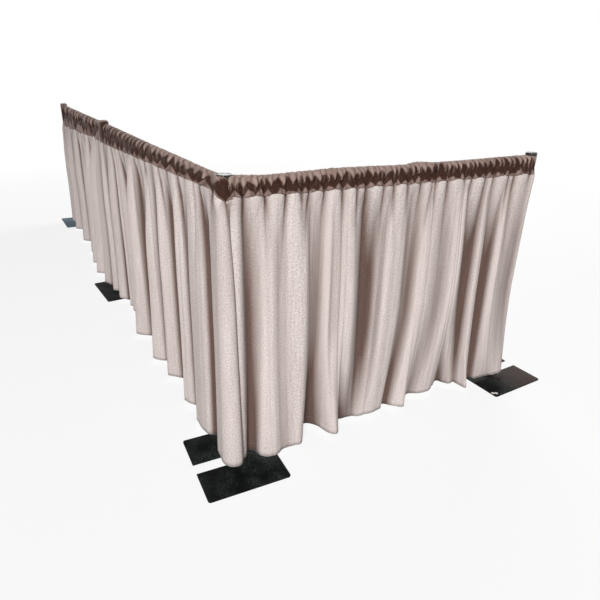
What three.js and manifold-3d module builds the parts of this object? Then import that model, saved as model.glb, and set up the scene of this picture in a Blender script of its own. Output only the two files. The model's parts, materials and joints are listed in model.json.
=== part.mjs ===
// Pipe and drape backdrop: two walls of gathered cloth on telescoping bars, square at a corner post.
// Millimetres, +Z up. The origin is on the floor under the corner post, +X runs along the
// right wall, +Y along the left wall, and the cloth hangs outside the corner, towards -X and -Y.
import * as THREE from 'three';
import { mergeVertices } from 'three/addons/utils/BufferGeometryUtils.js';
import Module from 'manifold-3d';

const wasm = await Module();
wasm.setup();

// Driving sizes
const inch = 25.4;
const postDiameter = 2 * inch;
const postWall = 2;
const postTop = 48 * inch;
const leftBarLength = 84 * inch;
const rightBarLength = 60 * inch;
const leftSpan = leftBarLength + postDiameter;
const rightSpan = rightBarLength + postDiameter;
const gap = 0.3;
const sides = 16;
const cutOverrun = 1;
const half = 1 / 2;

// Base plates and the spigots that stand on them
const plateLength = 14 * inch;
const plateWidth = 16 * inch;
const plateThickness = 0.25 * inch;
const plateCorner = 12;
const slotWidth = 60;
const slotEndFromCentre = 38;
const slotEndCorner = 10;
const spigotDiameter = 1.75 * inch;
const spigotWall = 3;
const spigotHeight = 8 * inch;
const spigotChamfer = 4;
const cornerPlateTurn = THREE.MathUtils.degToRad(-3.4);
const rightPlateTurn = THREE.MathUtils.degToRad(1.3);
const middlePlateTurn = THREE.MathUtils.degToRad(4.2);
const leftPlateTurn = THREE.MathUtils.degToRad(1.9);

// Caps and the hook slots below them
const capWall = 1.5;
const capSkirt = 22;
const capTop = 4;
const capEdge = 2.5;
const capEdgeSteps = 3;
const hookSlotWidth = 8;
const hookSlotHeight = 44;

// Telescoping bars, their hook plugs, rivets and guide bushes
const barBelowTop = 29.2;
const barHeight = postTop - barBelowTop;
const hookSlotBelowBar = 40;
const hookSlotBottom = barHeight - hookSlotBelowBar;
const outerDiameter = 1.5 * inch;
const outerWall = 1.65;
const innerDiameter = 1.25 * inch;
const innerWall = 1.65;
const innerShown = 45;
const plugFlange = 5;
const plugStandOff = 2.5;
const plugDepth = 32;
const innerSetBack = 6;
const bladeThickness = 5;
const bladeHeight = 26;
const tabDrop = 14;
const tabThickness = 4.6;
const bladeRoot = 8;
const bladeFoot = 4;
const rivetDiameter = 4.8;
const rivetHeadDiameter = 8;
const rivetHeadHeight = 1;
const rivetFromEnd = 14;
const rivetSides = 8;
const bushFlange = 4;
const bushDepth = 40;

// Cloth: the rod pockets of satin and the panels below them
const clothThickness = 3;
const pocketSlack = 3;
const pocketBottomTurn = THREE.MathUtils.degToRad(250);
const pocketArcSteps = 8;
const pocketStations = 8;
const pocketFromPost = 36;
const pocketInnerLift = 8;
const pocketInnerWidth = 1;
const clothTopAboveBar = 25;
const clothTopHeight = barHeight + clothTopAboveBar;
const leftEndPocketDepth = 225;
const middlePocketDepth = 142;
const cornerPocketDepth = 58;
const rightStartPocketDepth = 74;
const rightEndPocketDepth = 94;
const panelSeamGap = 4;
const hemHeight = 20;
const foldDepth = 100;
const foldTopOut = 33;
const cornerWrapShare = 0.5;
const samplesPerFoldPoint = 3;
const seamShare = 0.6015;

// Heights of the rows of a panel and how far the folds have opened there
const rowShares = [0, 0.4, 0.8, 1];
const foldGrowthShares = [1, 0.92, 0.5, 0];

// Fold lines at the hem: share of the span along the wall, share of the fold depth outwards
const leftFarFoldShares = [
  [-0.027, 0.8], [0, 0.86], [0.032, 0.6], [0.06, 0.05], [0.092, 0.1], [0.124, 0.6], [0.156, 1],
  [0.183, 0.5], [0.215, 0], [0.247, 0.08], [0.284, 0.5], [0.33, 0.7], [0.371, 0.95], [0.403, 0.4],
  [0.435, -0.05], [0.476, 0.1], [0.517, 0.6], [0.559, 0.88], [0.595, 0.3], [0.627, -0.1],
  [0.659, 0.4], [0.694, 1.2], [0.723, 0.6], [0.755, 0.2], [0.787, 0.8], [0.817, 1.38],
  [0.847, 0.7], [0.874, 0.1], [0.9, 0.5], [0.925, 1.18], [0.957, 0.95], [0.984, 0.6], [0.997, 0.7],
];
const leftNearFoldShares = [
  [0.003, 0.72], [0.023, 0.84], [0.05, 0.3], [0.073, 0.25], [0.098, 0.78], [0.124, 0.4],
  [0.151, 0.15], [0.175, 0.58], [0.201, 0.3], [0.222, 0.48], [0.256, 0], [0.293, -0.2],
  [0.33, 0.1], [0.362, 0.7], [0.386, 1.06], [0.412, 0.5], [0.439, -0.15], [0.476, -0.15],
  [0.508, 0.3], [0.53, 0.8], [0.549, 0.95], [0.572, 0.6], [0.595, -0.05], [0.618, 0.1],
  [0.645, 0.68], [0.664, 0.4], [0.687, -0.05], [0.723, -0.1], [0.751, 0.3], [0.771, 0.62],
  [0.797, 0.4], [0.822, 0.05], [0.851, 0.58], [0.877, 0.62], [0.911, 0.56], [0.929, 0.2],
  [0.952, 0.18], [0.968, 0.52], [0.991, 0.57], [1.014, 0.57], [1.028, 0.38], [1.031, 0.02],
];
const rightFirstFoldShares = [
  [0.002, 0.66], [0.023, 0.4], [0.039, 0.04], [0.053, 0.1], [0.065, 0.6], [0.095, 0.84],
  [0.137, 0.6], [0.184, 0.72], [0.202, 0.4], [0.217, -0.3], [0.244, -0.45], [0.267, -0.1],
  [0.281, 0.6], [0.297, 0.88], [0.317, 0.6], [0.337, -0.05], [0.368, 0.05], [0.406, 0.26],
  [0.457, 0.3], [0.492, 0.2], [0.511, -0.04], [0.533, 0.3], [0.562, 0.64], [0.585, 0.3],
  [0.6, 0.05],
];
const rightSecondFoldShares = [
  [0.603, 0.03], [0.625, -0.18], [0.66, 0.04], [0.695, 0.12], [0.73, -0.15], [0.768, -0.45],
  [0.791, -0.1], [0.808, 0.7], [0.825, 0.93], [0.848, 0.6], [0.874, 0.15], [0.895, 0.45],
  [0.94, 0.5], [0.991, 0.62], [1.016, 0.58], [1.024, 0.5],
];
const leftFarTopShares = [-0.012, 0.997];
const rightSecondTopShares = [0.603, 0.984];

// Finishes
const finishes = {
  plate: { color: 0x121414, roughness: 0.42, metalness: 0.3 },
  aluminium: { color: 0xc4c6c8, roughness: 0.35, metalness: 0.9 },
  steel: { color: 0x9a9da0, roughness: 0.4, metalness: 0.9 },
  cap: { color: 0x0d0d0e, roughness: 0.2, metalness: 0 },
  plug: { color: 0x1b1c1e, roughness: 0.5, metalness: 0 },
  bush: { color: 0xd8d8d4, roughness: 0.5, metalness: 0 },
  satin: { color: 0x5d4a44, roughness: 0.35, metalness: 0 },
  drape: { color: 0xc8bcb8, roughness: 0.9, metalness: 0 },
};

// Makes a named mesh with one of the finishes.
function piece(name, geometry, finish) {
  const mesh = new THREE.Mesh(geometry, new THREE.MeshStandardMaterial(finishes[finish]));
  mesh.name = name;
  return mesh;
}

// Turns a closed geometry into a solid that can be joined and cut.
function toSolid(geometry) {
  const bare = geometry.clone();
  bare.deleteAttribute('normal');
  bare.deleteAttribute('uv');
  const merged = mergeVertices(bare);
  return new wasm.Manifold(new wasm.Mesh({
    numProp: 3,
    vertProperties: new Float32Array(merged.attributes.position.array),
    triVerts: new Uint32Array(merged.index.array),
  }));
}

// Turns a solid back into a geometry.
function toGeometry(solid) {
  const mesh = solid.getMesh();
  const geometry = new THREE.BufferGeometry();
  geometry.setAttribute('position', new THREE.BufferAttribute(mesh.vertProperties, mesh.numProp));
  geometry.setIndex(new THREE.BufferAttribute(mesh.triVerts, 1));
  geometry.computeVertexNormals();
  return geometry;
}

// Builds a geometry from a list of points and a list of triangles.
function fromTriangles(points, triangles) {
  const geometry = new THREE.BufferGeometry();
  geometry.setAttribute('position', new THREE.Float32BufferAttribute(points.flat(), 3));
  geometry.setIndex(triangles.flat());
  geometry.computeVertexNormals();
  return geometry;
}

// A box between two corners.
function boxBetween(low, high) {
  const size = new THREE.Vector3().subVectors(high, low);
  const centre = new THREE.Vector3().addVectors(low, high).multiplyScalar(half);
  return new THREE.BoxGeometry(size.x, size.y, size.z).translate(centre.x, centre.y, centre.z);
}

// The corners of a round section, turned so that one flat facet faces each of X and Y.
function roundSection(radius) {
  const points = [];
  for (let side = 0; side < sides; side += 1) {
    const turn = ((side + half) / sides) * 2 * Math.PI;
    points.push(new THREE.Vector2(radius * Math.cos(turn), radius * Math.sin(turn)));
  }
  return points;
}

// A straight tube that stands on the XY plane.
function tube(outerRadius, innerRadius, length) {
  const shape = new THREE.Shape(roundSection(outerRadius));
  shape.holes.push(new THREE.Path(roundSection(innerRadius)));
  return new THREE.ExtrudeGeometry(shape, { depth: length, bevelEnabled: false });
}

// A solid round bar that stands on the XY plane.
function rod(radius, length) {
  const shape = new THREE.Shape(roundSection(radius));
  return new THREE.ExtrudeGeometry(shape, { depth: length, bevelEnabled: false });
}

// Turns a geometry that stands along +Z so that it runs along +X.
function alongX(geometry) {
  return geometry.rotateY(Math.PI * half);
}

// A shape turned about Z from a profile of radius and height that starts and ends on the axis,
// or that closes on itself.
function turned(profile, segments) {
  const points = profile.map(([radius, height]) => new THREE.Vector2(radius, height));
  return new THREE.LatheGeometry(points, segments, Math.PI / segments).rotateX(Math.PI * half);
}

// Base plate: a rounded rectangle with a slot open at its -X side, centred under the post.
function basePlate() {
  const x = plateLength * half;
  const y = plateWidth * half;
  const s = slotWidth * half;
  const r = plateCorner;
  const q = slotEndCorner;
  const end = -slotEndFromCentre;
  const quarter = Math.PI * half;
  const shape = new THREE.Shape();
  shape.moveTo(-x, -y + r);
  shape.absarc(-x + r, -y + r, r, Math.PI, Math.PI + quarter, false);
  shape.absarc(x - r, -y + r, r, -quarter, 0, false);
  shape.absarc(x - r, y - r, r, 0, quarter, false);
  shape.absarc(-x + r, y - r, r, quarter, Math.PI, false);
  shape.lineTo(-x, s);
  shape.absarc(end - q, s - q, q, quarter, 0, true);
  shape.absarc(end - q, -s + q, q, 0, -quarter, true);
  shape.lineTo(-x, -s);
  return new THREE.ExtrudeGeometry(shape, {
    depth: plateThickness, bevelEnabled: false, curveSegments: 4,
  });
}

// Spigot: the tube stub on the base plate that the post drops over.
function spigot() {
  const outer = spigotDiameter * half;
  const inner = outer - spigotWall;
  return turned([
    [inner, 0], [outer, 0], [outer, spigotHeight - spigotChamfer],
    [inner + gap, spigotHeight], [inner, spigotHeight], [inner, 0],
  ], sides);
}

// Upright: a tube with four hook slots square to each other just below its cap.
function upright() {
  const outer = postDiameter * half;
  const foot = plateThickness + gap;
  let solid = toSolid(tube(outer, outer - postWall, postTop - foot).translate(0, 0, foot));
  const reach = outer + cutOverrun;
  const wide = hookSlotWidth * half;
  const top = hookSlotBottom + hookSlotHeight;
  const alongRight = boxBetween(
    new THREE.Vector3(-reach, -wide, hookSlotBottom), new THREE.Vector3(reach, wide, top));
  const alongLeft = boxBetween(
    new THREE.Vector3(-wide, -reach, hookSlotBottom), new THREE.Vector3(wide, reach, top));
  solid = solid.subtract(toSolid(alongRight)).subtract(toSolid(alongLeft));
  return toGeometry(solid);
}

// Cap: a cup that slips over the top of an upright.
function postCap() {
  const inner = postDiameter * half + gap;
  const outer = inner + capWall;
  const under = postTop + gap;
  const top = under + capTop;
  const profile = [[0, under], [inner, under], [inner, postTop - capSkirt], [outer, postTop - capSkirt]];
  for (let step = 0; step <= capEdgeSteps; step += 1) {
    const turn = (step / capEdgeSteps) * Math.PI * half;
    profile.push([
      outer - capEdge + capEdge * Math.cos(turn), top - capEdge + capEdge * Math.sin(turn)]);
  }
  profile.push([0, top]);
  return turned(profile, sides);
}

// One base plate with its spigot, turned about the post as it stands.
function baseAt(name, x, y, turn) {
  const group = new THREE.Group();
  group.add(piece(`${name}_base_plate`, basePlate(), 'plate'));
  const stub = piece(`${name}_spigot`, spigot(), 'steel');
  stub.position.z = plateThickness + gap;
  group.add(stub);
  group.position.set(x, y, 0);
  group.rotation.z = turn;
  return group;
}

// One upright with its cap.
function postAt(name, x, y) {
  const group = new THREE.Group();
  group.add(piece(`${name}_upright`, upright(), 'aluminium'));
  group.add(piece(`${name}_cap`, postCap(), 'cap'));
  group.position.set(x, y, 0);
  return group;
}

// The hole that a rivet passes through, across a bar at a distance along it.
function rivetHole(x, tubeRadius) {
  const hole = rivetDiameter * half + gap;
  const reach = tubeRadius + cutOverrun;
  return new THREE.CylinderGeometry(hole, hole, 2 * reach, rivetSides).translate(x, 0, 0);
}

// Rivet: a pin across the bar with a low head at each end.
function rivet(tubeRadius) {
  const shank = rivetDiameter * half;
  const head = rivetHeadDiameter * half;
  const seat = tubeRadius + gap;
  const end = seat + rivetHeadHeight;
  return new THREE.LatheGeometry([
    [0, -end], [shank, -end], [head, -seat], [shank, -seat],
    [shank, seat], [head, seat], [shank, end], [0, end],
  ].map(([radius, height]) => new THREE.Vector2(radius, height)), rivetSides);
}

// Hook plug for the end of a bar at a post at the origin, the bar running along +X from it.
function hookPlug(tubeRadius, tubeWall) {
  const post = postDiameter * half;
  const flangeStart = post + plugStandOff;
  const tubeStart = flangeStart + plugFlange + gap;
  const plugEnd = tubeStart + plugDepth;
  const boreWall = (post - postWall) * Math.cos(Math.PI / sides);
  const seat = hookSlotBottom + gap - barHeight;
  const flange = alongX(rod(tubeRadius, plugFlange)).translate(flangeStart, 0, 0);
  const body = alongX(rod(tubeRadius - tubeWall - gap, plugEnd - flangeStart))
    .translate(flangeStart, 0, 0);
  const tabOut = boreWall - gap;
  const tabIn = tabOut - tabThickness;
  const outline = new THREE.Shape([
    [tabIn, seat - tabDrop], [tabOut, seat - tabDrop], [tabOut, seat],
    [flangeStart + bladeFoot, seat], [flangeStart + plugFlange, -bladeRoot],
    [plugEnd - bladeRoot, -bladeRoot], [plugEnd - bladeRoot, bladeRoot], [flangeStart, bladeRoot],
    [flangeStart, seat + bladeHeight], [tabIn, seat + bladeHeight],
  ].map(([x, z]) => new THREE.Vector2(x, z)));
  const blade = new THREE.ExtrudeGeometry(outline, { depth: bladeThickness, bevelEnabled: false })
    .translate(0, 0, -bladeThickness * half).rotateX(Math.PI * half);
  const hole = rivetHole(tubeStart + rivetFromEnd, tubeRadius);
  const solid = toSolid(flange).add(toSolid(body)).add(toSolid(blade)).subtract(toSolid(hole));
  return toGeometry(solid);
}

// A bar tube along +X with a rivet hole near one end.
function barTube(start, length, radius, wall, holeAt) {
  const solid = toSolid(alongX(tube(radius, radius - wall, length)).translate(start, 0, 0));
  return toGeometry(solid.subtract(toSolid(rivetHole(holeAt, radius))));
}

// Guide bush: a flanged sleeve in the mouth of the outer tube that the inner tube slides in.
function guideBush(mouth) {
  const bore = innerDiameter * half + gap;
  const sleeve = outerDiameter * half - outerWall - gap;
  const profile = [
    [bore, -bushDepth], [sleeve, -bushDepth], [sleeve, gap], [outerDiameter * half, gap],
    [outerDiameter * half, gap + bushFlange], [bore, gap + bushFlange], [bore, -bushDepth],
  ];
  return alongX(turned(profile, sides)).translate(mouth, 0, 0);
}

// A whole telescoping bar from a post at the origin to a post at the end of the span.
function telescopingBar(name, span) {
  const group = new THREE.Group();
  const outer = outerDiameter * half;
  const inner = innerDiameter * half;
  const tubeStart = postDiameter * half + plugStandOff + plugFlange + gap;
  const rivetAt = tubeStart + rivetFromEnd;
  const innerEnd = span - tubeStart;
  const outerEnd = innerEnd - innerShown;
  const innerStart = tubeStart + plugDepth + innerSetBack;
  const bar = new THREE.Group();
  bar.add(piece(`${name}_fixed_hook`, hookPlug(outer, outerWall), 'plug'));
  bar.add(piece(`${name}_outer_tube`,
    barTube(tubeStart, outerEnd - tubeStart, outer, outerWall, rivetAt), 'aluminium'));
  bar.add(piece(`${name}_fixed_rivet`, rivet(outer).translate(rivetAt, 0, 0), 'steel'));
  bar.add(piece(`${name}_guide_bush`, guideBush(outerEnd), 'bush'));
  bar.add(piece(`${name}_inner_tube`,
    barTube(innerStart, innerEnd - innerStart, inner, innerWall, span - rivetAt), 'aluminium'));
  const farEnd = new THREE.Group();
  farEnd.add(piece(`${name}_sliding_hook`, hookPlug(inner, innerWall), 'plug'));
  farEnd.add(piece(`${name}_sliding_rivet`, rivet(inner).translate(rivetAt, 0, 0), 'steel'));
  farEnd.position.x = span;
  farEnd.rotation.z = Math.PI;
  bar.add(farEnd);
  bar.position.z = barHeight;
  group.add(bar);
  return group;
}

// Height of the seam between pocket and panel at a share of the span.
function seamHeight(share, startDepth, endDepth) {
  const inside = THREE.MathUtils.clamp(share, 0, 1);
  return clothTopHeight - THREE.MathUtils.lerp(startDepth, endDepth, inside);
}

// The outer or inner outline of a rod pocket, in distance outwards and height.
function pocketOutline(radius, seam, apexOut, apexWidth) {
  const flat = Math.cos((pocketBottomTurn / pocketArcSteps) * half);
  const rest = (outerDiameter * half + pocketSlack) * flat;
  const centre = barHeight + outerDiameter * half + gap - rest;
  const points = [];
  for (let step = 0; step <= pocketArcSteps; step += 1) {
    const turn = (step / pocketArcSteps) * pocketBottomTurn;
    points.push([radius * Math.cos(turn), centre + radius * Math.sin(turn)]);
  }
  points.push([apexOut - apexWidth * half, seam], [apexOut + apexWidth * half, seam]);
  return points;
}

// Rod pocket between two distances along a wall whose outside is towards -Y.
function rodPocket(start, end, span, startDepth, endDepth) {
  const inner = outerDiameter * half + pocketSlack;
  const outer = inner + clothThickness;
  const points = [];
  const triangles = [];
  let count = 0;
  for (let station = 0; station < pocketStations; station += 1) {
    const x = THREE.MathUtils.lerp(start, end, station / (pocketStations - 1));
    const seam = seamHeight(x / span, startDepth, endDepth) + gap;
    const around = pocketOutline(outer, seam, foldTopOut, clothThickness);
    const inside = pocketOutline(
      inner, seam + pocketInnerLift, foldTopOut - clothThickness, pocketInnerWidth);
    count = around.length;
    for (const [out, z] of around.concat(inside)) points.push([x, -out, z]);
  }
  const quad = (a, b, c, d) => triangles.push([a, b, c], [a, c, d]);
  for (let station = 0; station < pocketStations - 1; station += 1) {
    const here = station * 2 * count;
    const next = here + 2 * count;
    for (let i = 0; i < count; i += 1) {
      const j = (i + 1) % count;
      quad(here + i, next + i, next + j, here + j);
      quad(here + count + i, here + count + j, next + count + j, next + count + i);
    }
  }
  const last = (pocketStations - 1) * 2 * count;
  for (let i = 0; i < count; i += 1) {
    const j = (i + 1) % count;
    quad(i, j, count + j, count + i);
    quad(last + i, last + count + i, last + count + j, last + j);
  }
  return fromTriangles(points, triangles);
}

// The line of a panel at its top seam, for a point of its hem line.
function topPlan(point, span, hemEnds, topEnds) {
  if (point.x > span && topEnds === null) {
    return new THREE.Vector2(
      span + (point.x - span) * cornerWrapShare, point.y * cornerWrapShare);
  }
  if (topEnds === null) return new THREE.Vector2(point.x, foldTopOut);
  const x = THREE.MathUtils.mapLinear(point.x, hemEnds[0], hemEnds[1], topEnds[0], topEnds[1]);
  return new THREE.Vector2(x, foldTopOut);
}

// Hanging panel with its main folds, on a wall whose outside is towards -Y.
function hangingPanel(foldShares, topShares, span, startDepth, endDepth) {
  const knots = foldShares.map(
    ([along, out]) => new THREE.Vector3(along * span, out * foldDepth, 0));
  const curve = new THREE.CatmullRomCurve3(knots, false, 'centripetal');
  const hem = curve.getPoints((knots.length - 1) * samplesPerFoldPoint);
  const hemEnds = [hem[0].x, hem[hem.length - 1].x];
  const topEnds = topShares === null ? null : topShares.map((share) => share * span);
  const tops = hem.map((point) => topPlan(point, span, hemEnds, topEnds));
  const columns = hem.length;
  const points = [];
  rowShares.forEach((rowShare, row) => {
    const growth = foldGrowthShares[row];
    const line = hem.map((point, i) => new THREE.Vector2(
      THREE.MathUtils.lerp(tops[i].x, point.x, growth),
      THREE.MathUtils.lerp(tops[i].y, point.y, growth)));
    line.forEach((point, i) => {
      const before = line[Math.max(i - 1, 0)];
      const after = line[Math.min(i + 1, columns - 1)];
      const normal = new THREE.Vector2(before.y - after.y, after.x - before.x).normalize();
      const seam = seamHeight(tops[i].x / span, startDepth, endDepth);
      const z = THREE.MathUtils.lerp(hemHeight, seam, rowShare);
      const offset = clothThickness * half;
      points.push([point.x + normal.x * offset, -(point.y + normal.y * offset), z]);
      points.push([point.x - normal.x * offset, -(point.y - normal.y * offset), z]);
    });
  });
  const triangles = [];
  const quad = (a, b, c, d) => triangles.push([a, b, c], [a, c, d]);
  const front = (row, column) => 2 * (row * columns + column);
  const back = (row, column) => front(row, column) + 1;
  const lastRow = rowShares.length - 1;
  for (let row = 0; row < lastRow; row += 1) {
    for (let i = 0; i < columns - 1; i += 1) {
      quad(front(row, i), front(row, i + 1), front(row + 1, i + 1), front(row + 1, i));
      quad(back(row, i), back(row + 1, i), back(row + 1, i + 1), back(row, i + 1));
    }
    quad(front(row, 0), front(row + 1, 0), back(row + 1, 0), back(row, 0));
    const end = columns - 1;
    quad(front(row, end), back(row, end), back(row + 1, end), front(row + 1, end));
  }
  for (let i = 0; i < columns - 1; i += 1) {
    quad(front(0, i), back(0, i), back(0, i + 1), front(0, i + 1));
    quad(front(lastRow, i), front(lastRow, i + 1), back(lastRow, i + 1), back(lastRow, i));
  }
  return fromTriangles(points, triangles);
}

// A panel with the rod pocket above it.
function curtain(name, foldShares, topShares, pocketEnds, span, startDepth, endDepth) {
  const group = new THREE.Group();
  group.add(piece(`${name}_panel`,
    hangingPanel(foldShares, topShares, span, startDepth, endDepth), 'drape'));
  group.add(piece(`${name}_rod_pocket`,
    rodPocket(pocketEnds[0], pocketEnds[1], span, startDepth, endDepth), 'satin'));
  return group;
}

// The left wall seen from outside: from its far end at the left to the corner at the right.
function leftWallCloth() {
  const wall = new THREE.Group();
  const ends = [pocketFromPost, leftSpan - pocketFromPost];
  wall.add(curtain('left_far', leftFarFoldShares, leftFarTopShares, ends, leftSpan,
    leftEndPocketDepth, middlePocketDepth));
  const near = curtain('left_near', leftNearFoldShares, null, ends, leftSpan,
    middlePocketDepth, cornerPocketDepth);
  near.position.x = leftSpan;
  wall.add(near);
  wall.position.y = 2 * leftSpan;
  wall.rotation.z = -Math.PI * half;
  return wall;
}

// The right wall seen from outside: two panels side by side on one bar.
function rightWallCloth() {
  const wall = new THREE.Group();
  const seam = seamShare * rightSpan;
  const firstEnds = [pocketFromPost, seam - panelSeamGap * half];
  const secondEnds = [seam + panelSeamGap * half, rightSpan - pocketFromPost];
  wall.add(curtain('right_first', rightFirstFoldShares, null, firstEnds, rightSpan,
    rightStartPocketDepth, rightEndPocketDepth));
  wall.add(curtain('right_second', rightSecondFoldShares, rightSecondTopShares, secondEnds,
    rightSpan, rightStartPocketDepth, rightEndPocketDepth));
  return wall;
}

// The whole backdrop
const backdrop = new THREE.Group();
backdrop.add(postAt('corner', 0, 0));
backdrop.add(postAt('right', rightSpan, 0));
backdrop.add(postAt('middle', 0, leftSpan));
backdrop.add(postAt('left', 0, 2 * leftSpan));
backdrop.add(baseAt('corner', 0, 0, cornerPlateTurn));
backdrop.add(baseAt('right', rightSpan, 0, Math.PI + rightPlateTurn));
backdrop.add(baseAt('middle', 0, leftSpan, Math.PI + middlePlateTurn));
backdrop.add(baseAt('left', 0, 2 * leftSpan, Math.PI + leftPlateTurn));
backdrop.add(telescopingBar('right_bar', rightSpan));
const nearBar = telescopingBar('left_near_bar', leftSpan);
nearBar.rotation.z = Math.PI * half;
backdrop.add(nearBar);
const farBar = telescopingBar('left_far_bar', leftSpan);
farBar.rotation.z = Math.PI * half;
farBar.position.y = leftSpan;
backdrop.add(farBar);
backdrop.add(leftWallCloth());
backdrop.add(rightWallCloth());

export default backdrop;
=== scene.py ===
"""Pipe and drape backdrop: two walls of gathered cloth hung from telescoping bars.

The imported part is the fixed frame. This script dresses it: smooth posts and bars, bevelled plates
and plugs, gathered satin rod pockets, hanging panels with their folds, stitching and finishes.
Metres, +Z up. The corner post stands at the origin, the right wall runs along +X and the left wall
along +Y, and the cloth hangs outside the corner, towards -X and -Y.
"""

from __future__ import annotations

import json
import logging
import math
from dataclasses import dataclass, replace
from enum import Enum, IntEnum

import bmesh
import bpy
import numpy as np
from mathutils import Matrix, Vector

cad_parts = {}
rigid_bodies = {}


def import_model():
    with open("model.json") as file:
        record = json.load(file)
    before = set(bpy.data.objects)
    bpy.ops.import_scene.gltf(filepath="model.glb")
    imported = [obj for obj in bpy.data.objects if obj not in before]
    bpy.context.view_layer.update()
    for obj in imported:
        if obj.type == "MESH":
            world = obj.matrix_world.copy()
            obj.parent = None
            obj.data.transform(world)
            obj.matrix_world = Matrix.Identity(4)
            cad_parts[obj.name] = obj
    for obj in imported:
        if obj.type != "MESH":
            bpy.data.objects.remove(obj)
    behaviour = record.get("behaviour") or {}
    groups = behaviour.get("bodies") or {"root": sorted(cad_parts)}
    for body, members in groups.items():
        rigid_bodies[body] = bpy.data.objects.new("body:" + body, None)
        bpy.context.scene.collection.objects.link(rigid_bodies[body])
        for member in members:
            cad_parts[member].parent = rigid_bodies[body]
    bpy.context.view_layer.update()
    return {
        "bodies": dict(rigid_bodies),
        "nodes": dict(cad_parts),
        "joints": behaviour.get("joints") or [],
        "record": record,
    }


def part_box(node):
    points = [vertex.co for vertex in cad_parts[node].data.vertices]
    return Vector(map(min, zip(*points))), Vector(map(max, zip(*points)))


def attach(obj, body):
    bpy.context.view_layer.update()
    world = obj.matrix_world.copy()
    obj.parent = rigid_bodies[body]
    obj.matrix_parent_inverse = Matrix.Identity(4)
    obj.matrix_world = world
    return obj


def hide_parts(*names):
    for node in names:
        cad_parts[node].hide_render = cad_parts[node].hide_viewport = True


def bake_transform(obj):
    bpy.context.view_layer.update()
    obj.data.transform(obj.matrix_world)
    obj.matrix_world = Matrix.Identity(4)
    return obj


LOG = logging.getLogger("backdrop")
MM = 0.001
# Attribute of the painted light on the cloth: painted shade in folds and hollows, painted highlights on
# the satin.
PAINTED_LIGHT = "nap"
WHITE = (1.0, 1.0, 1.0, 1.0)
SHARP_ANGLE = math.radians(38)
SAME_POINT = 0.001 * MM
PLATE_THICKNESS = 6.35 * MM
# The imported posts, bars and caps have this many sides, with flats that face along the axes.
PACKED_SIDES = 16
# Radians that a band texture turns by over one unit, at a scale of one.
BAND_TURN = 20


class Slot(Enum):
    """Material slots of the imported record."""

    POST = "post_aluminium"
    BAR = "bar_aluminium"
    CAP = "cap_plastic"
    PLUG = "hook_plastic"
    BUSH = "bush_plastic"
    RIVET = "rivet_steel"
    SPIGOT = "spigot_steel"
    PLATE = "plate_paint"
    DRAPE = "drape_cloth"
    SATIN = "header_satin"


class Draw(IntEnum):
    """Seeds of the separate random draws, each added to the seed of its curtain."""

    STRENGTHS = 1
    FINE = 2
    BROAD = 3
    RIPPLES = 6
    VALLEYS = 7
    PANEL_FANS = 8
    SMALL_RIPPLES = 9
    POCKET_FANS = 12
    LEAN = 15
    SPIKES = 16
    PLEATS = 17
    TENTS = 18


def linear(red: int, green: int, blue: int) -> tuple[float, float, float, float]:
    """Turns a display colour of 0 to 255 into the linear colour that a shader takes.

    Args:
        red: Red, 0 to 255.
        green: Green, 0 to 255.
        blue: Blue, 0 to 255.

    Returns:
        Linear red, green, blue and an alpha of one.
    """
    shares = [channel / 255 for channel in (red, green, blue)]
    lifted = [s / 12.92 if s <= 0.04045 else ((s + 0.055) / 1.055) ** 2.4 for s in shares]
    return (lifted[0], lifted[1], lifted[2], 1.0)


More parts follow.
